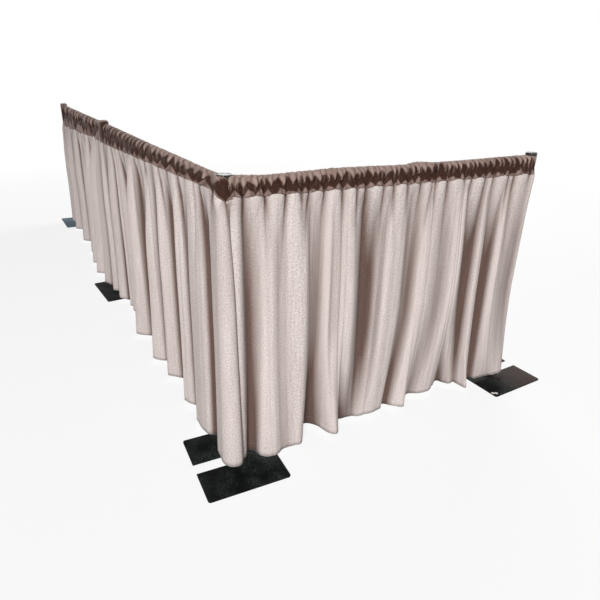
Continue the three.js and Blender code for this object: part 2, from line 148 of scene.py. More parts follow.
class Shader:
    """A node material under construction, with short calls for the nodes that finishes use."""

    def __init__(self, name: str) -> None:
        """Starts a material with a Principled shader.

        Args:
            name: Name of the material.
        """
        self.material = bpy.data.materials.new(name)
        self.material.use_nodes = True
        self.nodes = self.material.node_tree.nodes
        self.links = self.material.node_tree.links
        self.surface = self.nodes["Principled BSDF"]

    def set(self, **values: object) -> None:
        """Sets constants on the shader's own sockets.

        Args:
            **values: Socket names with underscores for spaces, and their values.
        """
        for name, value in values.items():
            self.surface.inputs[name.replace("_", " ")].default_value = value

    def add(self, kind: str, inputs: dict[str, object] | None = None,
            **settings: object) -> bpy.types.Node:
        """Adds a node.

        Args:
            kind: Type of the node.
            inputs: Socket names or numbers, with a value or an output socket for each.
            **settings: Properties of the node.

        Returns:
            The new node.
        """
        node = self.nodes.new(kind)
        for name, value in settings.items():
            setattr(node, name, value)
        for name, value in (inputs or {}).items():
            if isinstance(value, bpy.types.NodeSocket):
                self.links.new(value, node.inputs[name])
            else:
                node.inputs[name].default_value = value
        return node

    def noise(self, vector: bpy.types.NodeSocket, scale: float,
              detail: float = 2.0) -> bpy.types.NodeSocket:
        """Adds a noise texture and returns its factor."""
        inputs = {"Vector": vector, "Scale": scale, "Detail": detail}
        return self.add("ShaderNodeTexNoise", inputs).outputs["Fac"]

    def ramp(self, factor: bpy.types.NodeSocket, low: float, high: float) -> bpy.types.NodeSocket:
        """Stretches a factor so that low becomes zero and high becomes one."""
        inputs = {"Value": factor, "From Min": low, "From Max": high}
        return self.add("ShaderNodeMapRange", inputs).outputs["Result"]

    def mix(self, factor: object, first: object, second: object,
            blend: str = "MIX") -> bpy.types.NodeSocket:
        """Mixes two colours by a factor and returns the result."""
        node = self.add("ShaderNodeMix", data_type="RGBA", blend_type=blend)
        pairs = ((node.inputs[0], factor), (node.inputs[6], first), (node.inputs[7], second))
        for socket, value in pairs:
            if isinstance(value, bpy.types.NodeSocket):
                self.links.new(value, socket)
            else:
                socket.default_value = value
        return node.outputs[2]

    def math(self, operation: str, first: object, second: object = 0.0) -> bpy.types.NodeSocket:
        """Adds a math node on two values or sockets and returns its result."""
        return self.add("ShaderNodeMath", {0: first, 1: second}, operation=operation).outputs[0]

    def scaled(self, vector: bpy.types.NodeSocket,
               scale: tuple[float, float, float]) -> bpy.types.NodeSocket:
        """Scales a coordinate differently along each axis."""
        return self.add("ShaderNodeMapping", {"Vector": vector, "Scale": scale}).outputs["Vector"]

    def coordinates(self, kind: str) -> bpy.types.NodeSocket:
        """Returns the Object or UV coordinates."""
        return self.add("ShaderNodeTexCoord").outputs[kind]

    def nap(self) -> bpy.types.NodeSocket:
        """Returns the stored painted light: 0 for full painted shade, 1 for full painted light."""
        return self.add("ShaderNodeAttribute", attribute_name=PAINTED_LIGHT).outputs["Fac"]

    def colour(self, socket: bpy.types.NodeSocket) -> None:
        """Uses a socket as the base colour."""
        self.links.new(socket, self.surface.inputs["Base Color"])

    def roughness(self, factor: bpy.types.NodeSocket, low: float, high: float) -> None:
        """Lets a factor of 0 to 1 set the roughness, from low to high."""
        inputs = {"Value": factor, "To Min": low, "To Max": high}
        spread = self.add("ShaderNodeMapRange", inputs).outputs["Result"]
        self.links.new(spread, self.surface.inputs["Roughness"])

    def bump(self, height: bpy.types.NodeSocket, distance: float, strength: float = 1.0) -> None:
        """Uses a height for the bump, with its depth in metres."""
        inputs = {"Height": height, "Distance": distance, "Strength": strength}
        node = self.add("ShaderNodeBump", inputs)
        self.links.new(node.outputs["Normal"], self.surface.inputs["Normal"])


def weave(shader: Shader, vector: bpy.types.NodeSocket, pitch: float) -> bpy.types.NodeSocket:
    """Height of a coarse weave: waves that cross each other.

    Args:
        shader: The material.
        vector: Flat cloth coordinates in metres.
        pitch: Distance from one crest to the next, divided by 2 pi.

    Returns:
        The height, 0 to 1.
    """
    heights = []
    for direction in ("X", "Y"):
        inputs = {"Vector": vector, "Scale": 1 / (BAND_TURN * pitch), "Distortion": 0.0}
        wave = shader.add("ShaderNodeTexWave", inputs, wave_type="BANDS", bands_direction=direction)
        heights.append(wave.outputs["Fac"])
    return shader.math("MULTIPLY", heights[0], heights[1])


@dataclass(frozen=True)
class DrapeCloth:
    """Matte greige cloth of the panels: woven, faintly heathered, with soft streaks down the length.

    The shares say how much each pattern counts in the tone, which runs from dark to light.
    Painted shade darkens the fold valleys and the cloth below each pinch, by the stored painted light.
    """

    name: str = "drape_cloth_matte"
    light: tuple[int, int, int] = (250, 240, 236)
    dark: tuple[int, int, int] = (197, 180, 173)
    # Painted shade: the colour multiplied in deep in the folds and below each pinch.
    painted_fold_shade: tuple[int, int, int] = (124, 105, 98)
    thread_pitch: float = 1.1 * MM
    thread_depth: float = 0.25 * MM
    heather_scale: float = 420.0
    heather_share: float = 0.2
    slub_scale: tuple[float, float, float] = (230.0, 9.0, 1.0)
    slub_share: float = 0.2
    speckle_scale: float = 150.0
    speckle_share: float = 0.45
    broad_scale: tuple[float, float, float] = (6.0, 1.5, 1.0)
    broad_share: float = 0.15

    def build(self) -> bpy.types.Material:
        """Builds the material."""
        shader = Shader(self.name)
        cloth = shader.coordinates("UV")
        heather = shader.ramp(shader.noise(cloth, self.heather_scale, 3.0), 0.3, 0.7)
        slub = shader.noise(shader.scaled(cloth, self.slub_scale), 1.0, 2.0)
        broad = shader.noise(shader.scaled(cloth, self.broad_scale), 1.0, 2.0)
        speckle = shader.noise(cloth, self.speckle_scale, 3.0)
        tone = shader.math("MULTIPLY", heather, self.heather_share)
        patterns = ((slub, self.slub_share), (speckle, self.speckle_share), (broad, self.broad_share))
        for pattern, share in patterns:
            tone = shader.math("ADD", tone, shader.math("MULTIPLY", pattern, share))
        cloth_tone = shader.mix(shader.ramp(tone, 0.36, 0.64), linear(*self.dark), linear(*self.light))
        # Painted shade: multiplied in where the stored painted light is low.
        painted_shade_tint = shader.mix(shader.nap(), linear(*self.painted_fold_shade), WHITE)
        shader.colour(shader.mix(1.0, cloth_tone, painted_shade_tint, "MULTIPLY"))
        threads = weave(shader, cloth, self.thread_pitch)
        height = shader.math("ADD", threads, shader.math("MULTIPLY", heather, 0.6))
        shader.bump(height, self.thread_depth, 0.6)
        shader.set(Roughness=0.9, Sheen_Weight=0.05, Sheen_Roughness=0.5, Specular_IOR_Level=0.25)
        return shader.material


@dataclass(frozen=True)
class SatinCloth:
    """Brown satin of the rod pockets: low gloss, with crush marks in its bump. Its colour runs from a
    shaded to a lit brown by the stored painted light and a random mottle: painted shade in the hollow
    below the roll, painted highlights on the roll, the tents and the pleats.
    """

    name: str = "header_satin_painted_light"
    # Lit and shaded copies of the satin's brown, mixed by the painted light.
    light: tuple[int, int, int] = (178, 154, 145)
    dark: tuple[int, int, int] = (66, 44, 37)
    thread_pitch: float = 0.6 * MM
    thread_share: float = 0.1
    crush_scale: tuple[float, float, float] = (60.0, 14.0, 1.0)
    crush_depth: float = 1.2 * MM
    mottle_scale: float = 90.0
    mottle_share: float = 0.3

    def build(self) -> bpy.types.Material:
        """Builds the material."""
        shader = Shader(self.name)
        cloth = shader.coordinates("UV")
        mottle = shader.noise(cloth, self.mottle_scale, 3.0)
        painted_light_and_mottle = shader.math("ADD", shader.nap(), shader.math("MULTIPLY", mottle, self.mottle_share))
        shader.colour(shader.mix(shader.ramp(painted_light_and_mottle, 0.15, 1.15), linear(*self.dark), linear(*self.light)))
        crush = shader.noise(shader.scaled(cloth, self.crush_scale), 1.0, 3.0)
        threads = shader.math("MULTIPLY", weave(shader, cloth, self.thread_pitch), self.thread_share)
        shader.bump(shader.math("ADD", threads, crush), self.crush_depth, 0.5)
        shader.roughness(mottle, 0.36, 0.5)
        shader.set(Specular_IOR_Level=0.02)
        return shader.material


@dataclass(frozen=True)
class PlatePaint:
    """Black powder coat on a steel plate, with dust specks, worn spots and a dusty side, and near-white
    chips: worn spots whose bare metal glint is painted in as a highlight.
    """

    name: str
    paint: tuple[int, int, int] = (6, 9, 9)
    speck: tuple[int, int, int] = (104, 112, 108)
    dust: tuple[int, int, int] = (112, 92, 86)
    dusty_from: float | None = None
    dusty_to: float = 0.0
    # Worn chips painted near white: bare metal with a painted highlight of its glint.
    chips_and_glints: tuple[tuple[float, float, float], ...] = ()
    chip_glint: tuple[int, int, int] = (232, 228, 224)
    grit_depth: float = 0.15 * MM

    def build(self) -> bpy.types.Material:
        """Builds the material."""
        shader = Shader(self.name)
        place = shader.coordinates("Object")
        patches = shader.noise(place, 11.0, 3.0)
        specks = shader.ramp(shader.noise(place, 300.0, 2.0), 0.54, 0.64)
        worn = shader.math("MULTIPLY", specks, shader.ramp(patches, 0.38, 0.62))
        colour = shader.mix(shader.math("MULTIPLY", worn, 0.75), linear(*self.paint), linear(*self.speck))
        if self.dusty_from is not None:
            across = shader.add("ShaderNodeSeparateXYZ", {0: place}).outputs["X"]
            side = shader.ramp(across, self.dusty_from, self.dusty_to)
            grain = shader.ramp(shader.noise(place, 160.0, 4.0), 0.25, 0.7)
            dusty = shader.math("MULTIPLY", shader.math("MULTIPLY", side, grain), 0.75)
            colour = shader.mix(dusty, colour, linear(*self.dust))
        for x, y, radius in self.chips_and_glints:
            ends = {0: place, 1: (x, y, PLATE_THICKNESS)}
            away = shader.add("ShaderNodeVectorMath", ends, operation="DISTANCE").outputs["Value"]
            colour = shader.mix(shader.ramp(away, radius, radius * 0.7), colour, linear(*self.chip_glint))
        shader.colour(colour)
        shader.roughness(patches, 0.5, 0.7)
        shader.bump(shader.noise(place, 900.0, 2.0), self.grit_depth, 0.5)
        shader.set(Specular_IOR_Level=0.07)
        return shader.material


@dataclass(frozen=True)
class DrawnAluminium:
    """Mill finish aluminium tube: fine lines along its length and small scuffs.

    The grain runs along the axis whose scale is the smallest.
    """

    name: str
    grain: tuple[float, float, float] = (900.0, 900.0, 6.0)
    dark: tuple[int, int, int] = (176, 178, 180)
    light: tuple[int, int, int] = (214, 216, 217)
    scuffed: tuple[int, int, int] = (150, 151, 152)
    line_depth: float = 0.06 * MM

    def build(self) -> bpy.types.Material:
        """Builds the material."""
        shader = Shader(self.name)
        place = shader.coordinates("Object")
        lines = shader.noise(shader.scaled(place, self.grain), 1.0, 2.0)
        scuffs = shader.ramp(shader.noise(place, 26.0, 4.0), 0.45, 0.8)
        tone = shader.mix(lines, linear(*self.dark), linear(*self.light))
        shader.colour(shader.mix(shader.math("MULTIPLY", scuffs, 0.35), tone, linear(*self.scuffed)))
        shader.roughness(shader.math("ADD", lines, scuffs), 0.26, 0.52)
        shader.bump(lines, self.line_depth, 0.4)
        shader.set(Metallic=1.0)
        return shader.material


@dataclass(frozen=True)
class MouldedPlastic:
    """Moulded plastic with a fine texture and slight tone changes."""

    name: str
    base: tuple[int, int, int]
    low_roughness: float
    high_roughness: float
    texture_depth: float = 0.05 * MM
    cloud_lift: int = 14

    def build(self) -> bpy.types.Material:
        """Builds the material."""
        shader = Shader(self.name)
        place = shader.coordinates("Object")
        cloud = shader.noise(place, 45.0, 3.0)
        lighter = tuple(min(255, channel + self.cloud_lift) for channel in self.base)
        shader.colour(shader.mix(shader.ramp(cloud, 0.35, 0.7), linear(*self.base), linear(*lighter)))
        shader.roughness(cloud, self.low_roughness, self.high_roughness)
        shader.bump(shader.noise(place, 1400.0, 1.0), self.texture_depth, 0.4)
        return shader.material


@dataclass(frozen=True)
class PlatedSteel:
    """Zinc plated or turned steel with faint clouding."""

    name: str
    base: tuple[int, int, int] = (150, 152, 154)
    texture_depth: float = 0.05 * MM
    cloud_lift: int = 40

    def build(self) -> bpy.types.Material:
        """Builds the material."""
        shader = Shader(self.name)
        place = shader.coordinates("Object")
        cloud = shader.noise(place, 60.0, 4.0)
        lighter = tuple(min(255, channel + self.cloud_lift) for channel in self.base)
        shader.colour(shader.mix(cloud, linear(*self.base), linear(*lighter)))
        shader.roughness(cloud, 0.3, 0.5)
        shader.bump(shader.noise(place, 700.0, 2.0), self.texture_depth, 0.4)
        shader.set(Metallic=1.0)
        return shader.material


def smoothed(mesh: bpy.types.Mesh) -> None:
    """Shades a mesh smooth except at sharp edges."""
    mesh.shade_smooth()
    mesh.set_sharp_from_angle(angle=SHARP_ANGLE)


def welded(mesh: bpy.types.Mesh) -> None:
    """Merges the points of a mesh that lie in one place."""
    work = bmesh.new()
    work.from_mesh(mesh)
    bmesh.ops.remove_doubles(work, verts=work.verts, dist=SAME_POINT)
    work.to_mesh(mesh)
    work.free()


def true_radius(across: float) -> float:
    """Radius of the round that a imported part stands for.

    Args:
        across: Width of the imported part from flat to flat.

    Returns:
        Distance from the axis to a corner.
    """
    return across / 2 / math.cos(math.pi / PACKED_SIDES)


def mesh_object(name: str, vertices: object, faces: object,
                material: bpy.types.Material) -> bpy.types.Object:
    """Makes an object from points and faces, shaded smooth except at sharp edges.

    Args:
        name: Name of the piece.
        vertices: Points in metres.
        faces: Corner numbers of each face, turning outwards.
        material: The finish.

    Returns:
        The new object, at the origin.
    """
    mesh = bpy.data.meshes.new(name)
    mesh.from_pydata([tuple(point) for point in vertices], [], [tuple(face) for face in faces])
    mesh.update()
    return shown(name, mesh, material)


def shown(name: str, mesh: bpy.types.Mesh, material: bpy.types.Material | None = None) -> bpy.types.Object:
    """Links a mesh as an object and shades it smooth except at sharp edges.

    Args:
        name: Name of the piece.
        mesh: Its mesh.
        material: The finish, or None where the mesh already has its own.

    Returns:
        The new object, at the origin.
    """
    piece = bpy.data.objects.new(name, mesh)
    bpy.context.scene.collection.objects.link(piece)
    if material is not None:
        mesh.materials.clear()
        mesh.materials.append(material)
    smoothed(mesh)
    return piece


def made_plain(piece: bpy.types.Object) -> bpy.types.Object:
    """Turns an object with modifiers into one with a plain mesh.

    Args:
        piece: The object.

    Returns:
        The same object, with its result as its mesh and no modifiers.
    """
    graph = bpy.context.evaluated_depsgraph_get()
    mesh = bpy.data.meshes.new_from_object(piece.evaluated_get(graph), depsgraph=graph)
    piece.modifiers.clear()
    piece.data = mesh
    return piece


def lathe(profile: list[tuple[float, float]], segments: int) -> tuple[list, list]:
    """Turns a profile about Z.

    Args:
        profile: Radius and height pairs, from outline start to end, closed on itself or on the axis.
        segments: Number of sides.

    Returns:
        Points and faces.
    """
    points: list[tuple[float, float, float]] = []
    rings: list[list[int]] = []
    for radius, height in profile:
        if radius == 0:
            rings.append([len(points)] * segments)
            points.append((0.0, 0.0, height))
            continue
        rings.append(list(range(len(points), len(points) + segments)))
        for side in range(segments):
            turn = 2 * math.pi * side / segments
            points.append((radius * math.cos(turn), radius * math.sin(turn), height))
    faces = []
    for lower, upper in zip(rings, rings[1:]):
        for side in range(segments):
            after = (side + 1) % segments
            corners = (lower[side], lower[after], upper[after], upper[side])
            faces.append(tuple(dict.fromkeys(corners)))
    return points, [face for face in faces if len(face) > 2]


def tube_profile(inner: float, outer: float, low: float, high: float,
                 ease: float) -> list[tuple[float, float]]:
    """Outline of a tube's wall with eased edges, closed on itself.

    Args:
        inner: Inner radius.
        outer: Outer radius.
        low: Height of the lower end.
        high: Height of the upper end.
        ease: Width of the eased edges.

    Returns:
        Radius and height pairs.
    """
    return [
        (inner, low + ease), (inner + ease, low), (outer - ease, low), (outer, low + ease),
        (outer, high - ease), (outer - ease, high), (inner + ease, high), (inner, high - ease),
        (inner, low + ease),
    ]


def placed(points: list, matrix: Matrix) -> list:
    """Moves points by a matrix."""
    return [matrix @ Vector(point) for point in points]


def along_wall(axis: str, start: Vector) -> Matrix:
    """Matrix that lays what stands on Z along X or Y, from a start point."""
    turn = {"X": Matrix.Rotation(math.pi / 2, 4, "Y"), "Y": Matrix.Rotation(-math.pi / 2, 4, "X")}[axis]
    return Matrix.Translation(start) @ turn


@dataclass
class RigidDressing:
    """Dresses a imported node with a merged, bevelled copy of itself in a finish of its own."""

    frame: dict
    bevel: float = 0.6 * MM
    bevel_steps: int = 2
    bevel_from: float = math.radians(50)
    flat_within: float = math.radians(1)
    merged_within: float = 0.01 * MM

    def dress(self, node: str, body: str, material: bpy.types.Material,
              bevel: float | None = None) -> bpy.types.Object:
        """Makes the copy and lets it stand for the node.

        Args:
            node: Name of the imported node.
            body: Body that it rides on.
            material: The finish.
            bevel: Width of the bevel, if not the usual one.

        Returns:
            The new piece.
        """
        work = bmesh.new()
        work.from_mesh(self.frame["nodes"][node].data)
        bmesh.ops.remove_doubles(work, verts=work.verts, dist=self.merged_within)
        bmesh.ops.dissolve_limit(work, angle_limit=self.flat_within, verts=work.verts, edges=work.edges)
        mesh = bpy.data.meshes.new(f"{node}_dressed")
        work.to_mesh(mesh)
        work.free()
        piece = shown(f"{node}_dressed", mesh, material)
        edge = piece.modifiers.new("edge", "BEVEL")
        edge.width = self.bevel if bevel is None else bevel
        edge.segments = self.bevel_steps
        edge.limit_method = "ANGLE"
        edge.angle_limit = self.bevel_from
        made_plain(piece)
        smoothed(piece.data)
        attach(piece, body)
        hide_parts(node)
        return piece


@dataclass
class Post:
    """One post: a slotted tube with its cap."""

    name: str
    body: str
    sides: int = 64
    wall: float = 2 * MM
    slot_width: float = 8 * MM
    slot_bottom_below_top: float = 69.2 * MM
    slot_height: float = 44 * MM
    slot_end_steps: int = 8
    ease: float = 0.4 * MM
    cap_gap: float = 0.3 * MM
    cap_rim: float = 4.2 * MM
    cap_rim_drop: float = 0.1 * MM
    cap_rim_slope: float = 0.3 * MM
    cap_dish: float = 1.2 * MM
    cap_edge: float = 2.5 * MM
    cap_edge_steps: int = 6

    def __post_init__(self) -> None:
        """Reads where the post stands from the frame."""
        low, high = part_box(f"{self.name}_upright")
        self.centre = (low + high) / 2
        self.foot = low.z
        self.top = high.z
        self.radius = true_radius(max(high.x - low.x, high.y - low.y))

    def slot_cutter(self, axis: str) -> bpy.types.Object:
        """Makes the cutter of two opposite hook slots, with round ends.

        Args:
            axis: X or Y, the direction that the cutter passes through.

        Returns:
            The cutter.
        """
        half = self.slot_width / 2
        bottom = self.top - self.slot_bottom_below_top
        outline = []
        for middle, first in ((bottom + self.slot_height - half, 0.0), (bottom + half, math.pi)):
            for step in range(self.slot_end_steps + 1):
                turn = first + math.pi * step / self.slot_end_steps
                outline.append((half * math.cos(turn), middle + half * math.sin(turn)))
        reach = 2 * self.radius
        count = len(outline)
        points = []
        for depth in (-reach, reach):
            for across, height in outline:
                flat = (depth, across) if axis == "X" else (across, depth)
                points.append((self.centre.x + flat[0], self.centre.y + flat[1], height))
        faces = [tuple(range(count)), tuple(range(2 * count - 1, count - 1, -1))]
        faces += [(i, i + count, (i + 1) % count + count, (i + 1) % count) for i in range(count)]
        work = bmesh.new()
        corners = [work.verts.new(point) for point in points]
        for face in faces:
            work.faces.new([corners[i] for i in face])
        bmesh.ops.recalc_face_normals(work, faces=work.faces)
        mesh = bpy.data.meshes.new("cutter")
        work.to_mesh(mesh)
        work.free()
        cutter = bpy.data.objects.new("cutter", mesh)
        bpy.context.scene.collection.objects.link(cutter)
        return cutter

    def tube(self, material: bpy.types.Material) -> bpy.types.Object:
        """Builds the slotted tube.

        Args:
            material: The finish.

        Returns:
            The tube, riding on its body.
        """
        inner = self.radius - self.wall
        profile = tube_profile(inner, self.radius, self.foot, self.top, self.ease)
        points, faces = lathe(profile, self.sides)
        shift = Matrix.Translation((self.centre.x, self.centre.y, 0))
        piece = mesh_object(f"{self.name}_tube", placed(points, shift), faces, material)
        welded(piece.data)
        cutters = [self.slot_cutter("X"), self.slot_cutter("Y")]
        for cutter in cutters:
            cut = piece.modifiers.new("slot", "BOOLEAN")
            cut.object = cutter
            cut.operation = "DIFFERENCE"
            cut.solver = "EXACT"
        made_plain(piece)
        for cutter in cutters:
            bpy.data.objects.remove(cutter)
        smoothed(piece.data)
        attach(piece, self.body)
        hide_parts(f"{self.name}_upright")
        return piece

    def cap(self, material: bpy.types.Material, face: bpy.types.Material) -> bpy.types.Object:
        """Builds the cap: a cup with a face sunk inside its rim.

        Args:
            material: Finish of the cup.
            face: Finish of the sunk face.

        Returns:
            The cap, riding on its body.
        """
        low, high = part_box(f"{self.name}_cap")
        outer = true_radius(high.x - low.x)
        inner = self.radius + self.cap_gap
        under = self.top + self.cap_gap
        profile = [(0.0, under), (inner, under), (inner, low.z), (outer - self.ease, low.z),
                   (outer, low.z + self.ease)]
        for step in range(self.cap_edge_steps + 1):
            turn = math.pi / 2 * step / self.cap_edge_steps
            profile.append((outer - self.cap_edge * (1 - math.cos(turn)),
                            high.z - self.cap_edge * (1 - math.sin(turn))))
        rim = outer - self.cap_rim
        sunk = high.z - self.cap_dish
        profile += [(rim, high.z - self.cap_rim_drop), (rim - self.cap_rim_slope, sunk), (0.0, sunk)]
        points, faces = lathe(profile, self.sides)
        shift = Matrix.Translation((self.centre.x, self.centre.y, 0))
        piece = mesh_object(f"{self.name}_cap_cup", placed(points, shift), faces, material)
        piece.data.materials.append(face)
        for polygon in piece.data.polygons:
            if polygon.center.z > under and abs(polygon.center.z - sunk) < self.cap_rim_drop / 2:
                polygon.material_index = 1
        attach(piece, self.body)
        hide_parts(f"{self.name}_cap")
        return piece


@dataclass
class TelescopingBar:
    """One bar: an outer and an inner tube, smooth and with eased ends."""

    name: str
    axis: str
    outer_body: str
    inner_body: str
    sides: int = 48
    wall: float = 1.65 * MM
    ease: float = 0.35 * MM

    def tube(self, node: str, body: str, material: bpy.types.Material) -> bpy.types.Object:
        """Builds one tube where the frame says.

        Args:
            node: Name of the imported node.
            body: Body that it rides on.
            material: The finish.

        Returns:
            The tube.
        """
        low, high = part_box(node)
        index = "XYZ".index(self.axis)
        outer = true_radius(high.z - low.z)
        start = (low + high) / 2
        start[index] = low[index]
        profile = tube_profile(outer - self.wall, outer, 0.0, high[index] - low[index], self.ease)
        points, faces = lathe(profile, self.sides)
        laid = placed(points, along_wall(self.axis, start))
        piece = mesh_object(f"{node}_smooth", laid, faces, material)
        welded(piece.data)
        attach(piece, body)
        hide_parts(node)
        return piece

    def build(self, material: bpy.types.Material) -> list[bpy.types.Object]:
        """Builds both tubes.

        Args:
            material: The finish.

        Returns:
            The outer and the inner tube.
        """
        return [
            self.tube(f"{self.name}_outer_tube", self.outer_body, material),
            self.tube(f"{self.name}_inner_tube", self.inner_body, material),
        ]


@dataclass(frozen=True)
class Wall:
    """A wall's own frame: distance along it, distance outwards and height."""

    start: tuple[float, float]
    along: tuple[float, float]
    outward: tuple[float, float]
    span: float
    turns_at: float = math.inf
    turn_radius: float = 33 * MM

    def plain(self, along: np.ndarray, out: np.ndarray, height: np.ndarray) -> np.ndarray:
        """Turns distances along a straight wall into points.

        Args:
            along: Distances along the wall.
            out: Distances outwards.
            height: Heights.

        Returns:
            Points, with X, Y and Z in the last axis.
        """
        x = self.start[0] + along * self.along[0] + out * self.outward[0]
        y = self.start[1] + along * self.along[1] + out * self.outward[1]
        return np.stack([x, y, np.broadcast_to(height, np.shape(x))], axis=-1)

    def outward_at(self, along: np.ndarray) -> np.ndarray:
        """Outward direction along a wall that turns round its corner post.

        Args:
            along: Distances along the wall.

        Returns:
            Unit directions.
        """
        turn = np.clip(along - self.turns_at, 0, None) / self.turn_radius
        x = self.outward[0] * np.cos(turn) + self.along[0] * np.sin(turn)
        y = self.outward[1] * np.cos(turn) + self.along[1] * np.sin(turn)
        return np.stack([x, y, np.zeros(np.shape(x))], axis=-1)

    def points(self, along: np.ndarray, out: np.ndarray, height: np.ndarray) -> np.ndarray:
        """Turns distances along a wall that turns round its corner post into points.

        Args:
            along: Distances along the wall.
            out: Distances outwards.
            height: Heights.

        Returns:
            Points, with X, Y and Z in the last axis.
        """
        line = self.plain(np.minimum(along, self.turns_at), np.zeros(np.shape(along)), height)
        return line + self.outward_at(along) * np.asarray(out)[..., None]


def eased(value: np.ndarray, low: float, high: float) -> np.ndarray:
    """Rises smoothly from zero at low to one at high."""
    share = np.clip((value - low) / (high - low), 0, 1)
    return share**2 * (3 - 2 * share)


def grown(distance: np.ndarray, reach: float) -> np.ndarray:
    """Share that grows from zero at the seam towards one, over a reach."""
    return 1 - np.exp(-distance / reach)


def smooth_line(knots: np.ndarray, samples: int) -> np.ndarray:
    """Centripetal Catmull-Rom curve through knots.

    Args:
        knots: Points, one for each row.
        samples: Samples for each stretch between two knots.

    Returns:
        The points of the curve.
    """
    ends = np.vstack([2 * knots[0] - knots[1], knots, 2 * knots[-1] - knots[-2]])
    line = [knots[0]]
    for before, first, second, after in zip(ends, ends[1:], ends[2:], ends[3:]):
        gaps = [max(np.linalg.norm(b - a), 1e-6) ** 0.5
                for a, b in ((before, first), (first, second), (second, after))]
        leave = ((first - before) / gaps[0] - (second - before) / (gaps[0] + gaps[1])
                 + (second - first) / gaps[1]) * gaps[1]
        arrive = ((second - first) / gaps[1] - (after - first) / (gaps[1] + gaps[2])
                  + (after - second) / gaps[2]) * gaps[1]
        for step in range(1, samples + 1):
            t = step / samples
            line.append((2 * t**3 - 3 * t**2 + 1) * first + (t**3 - 2 * t**2 + t) * leave
                        + (3 * t**2 - 2 * t**3) * second + (t**3 - t**2) * arrive)
    return np.array(line)


@dataclass(frozen=True)
class Creases:
    """Sharp fold lines that start at the seam and fade with distance from it."""

    starts: np.ndarray
    slopes: np.ndarray
    depths: np.ndarray
    reaches: np.ndarray
    width: float
    spread: float

    def depth(self, along: np.ndarray, away: np.ndarray) -> np.ndarray:
        """How deep the creases are.

        Args:
            along: Distances along the wall.
            away: Distances from the seam.

        Returns:
            Depths, all creases together.
        """
        away = np.broadcast_to(away, along.shape)[:, None]
        across = np.abs(along[:, None] - self.starts - self.slopes * away)
        fade = np.exp(-away / self.reaches - across / (self.width + self.spread * away))
        return (self.depths * fade).sum(axis=1)


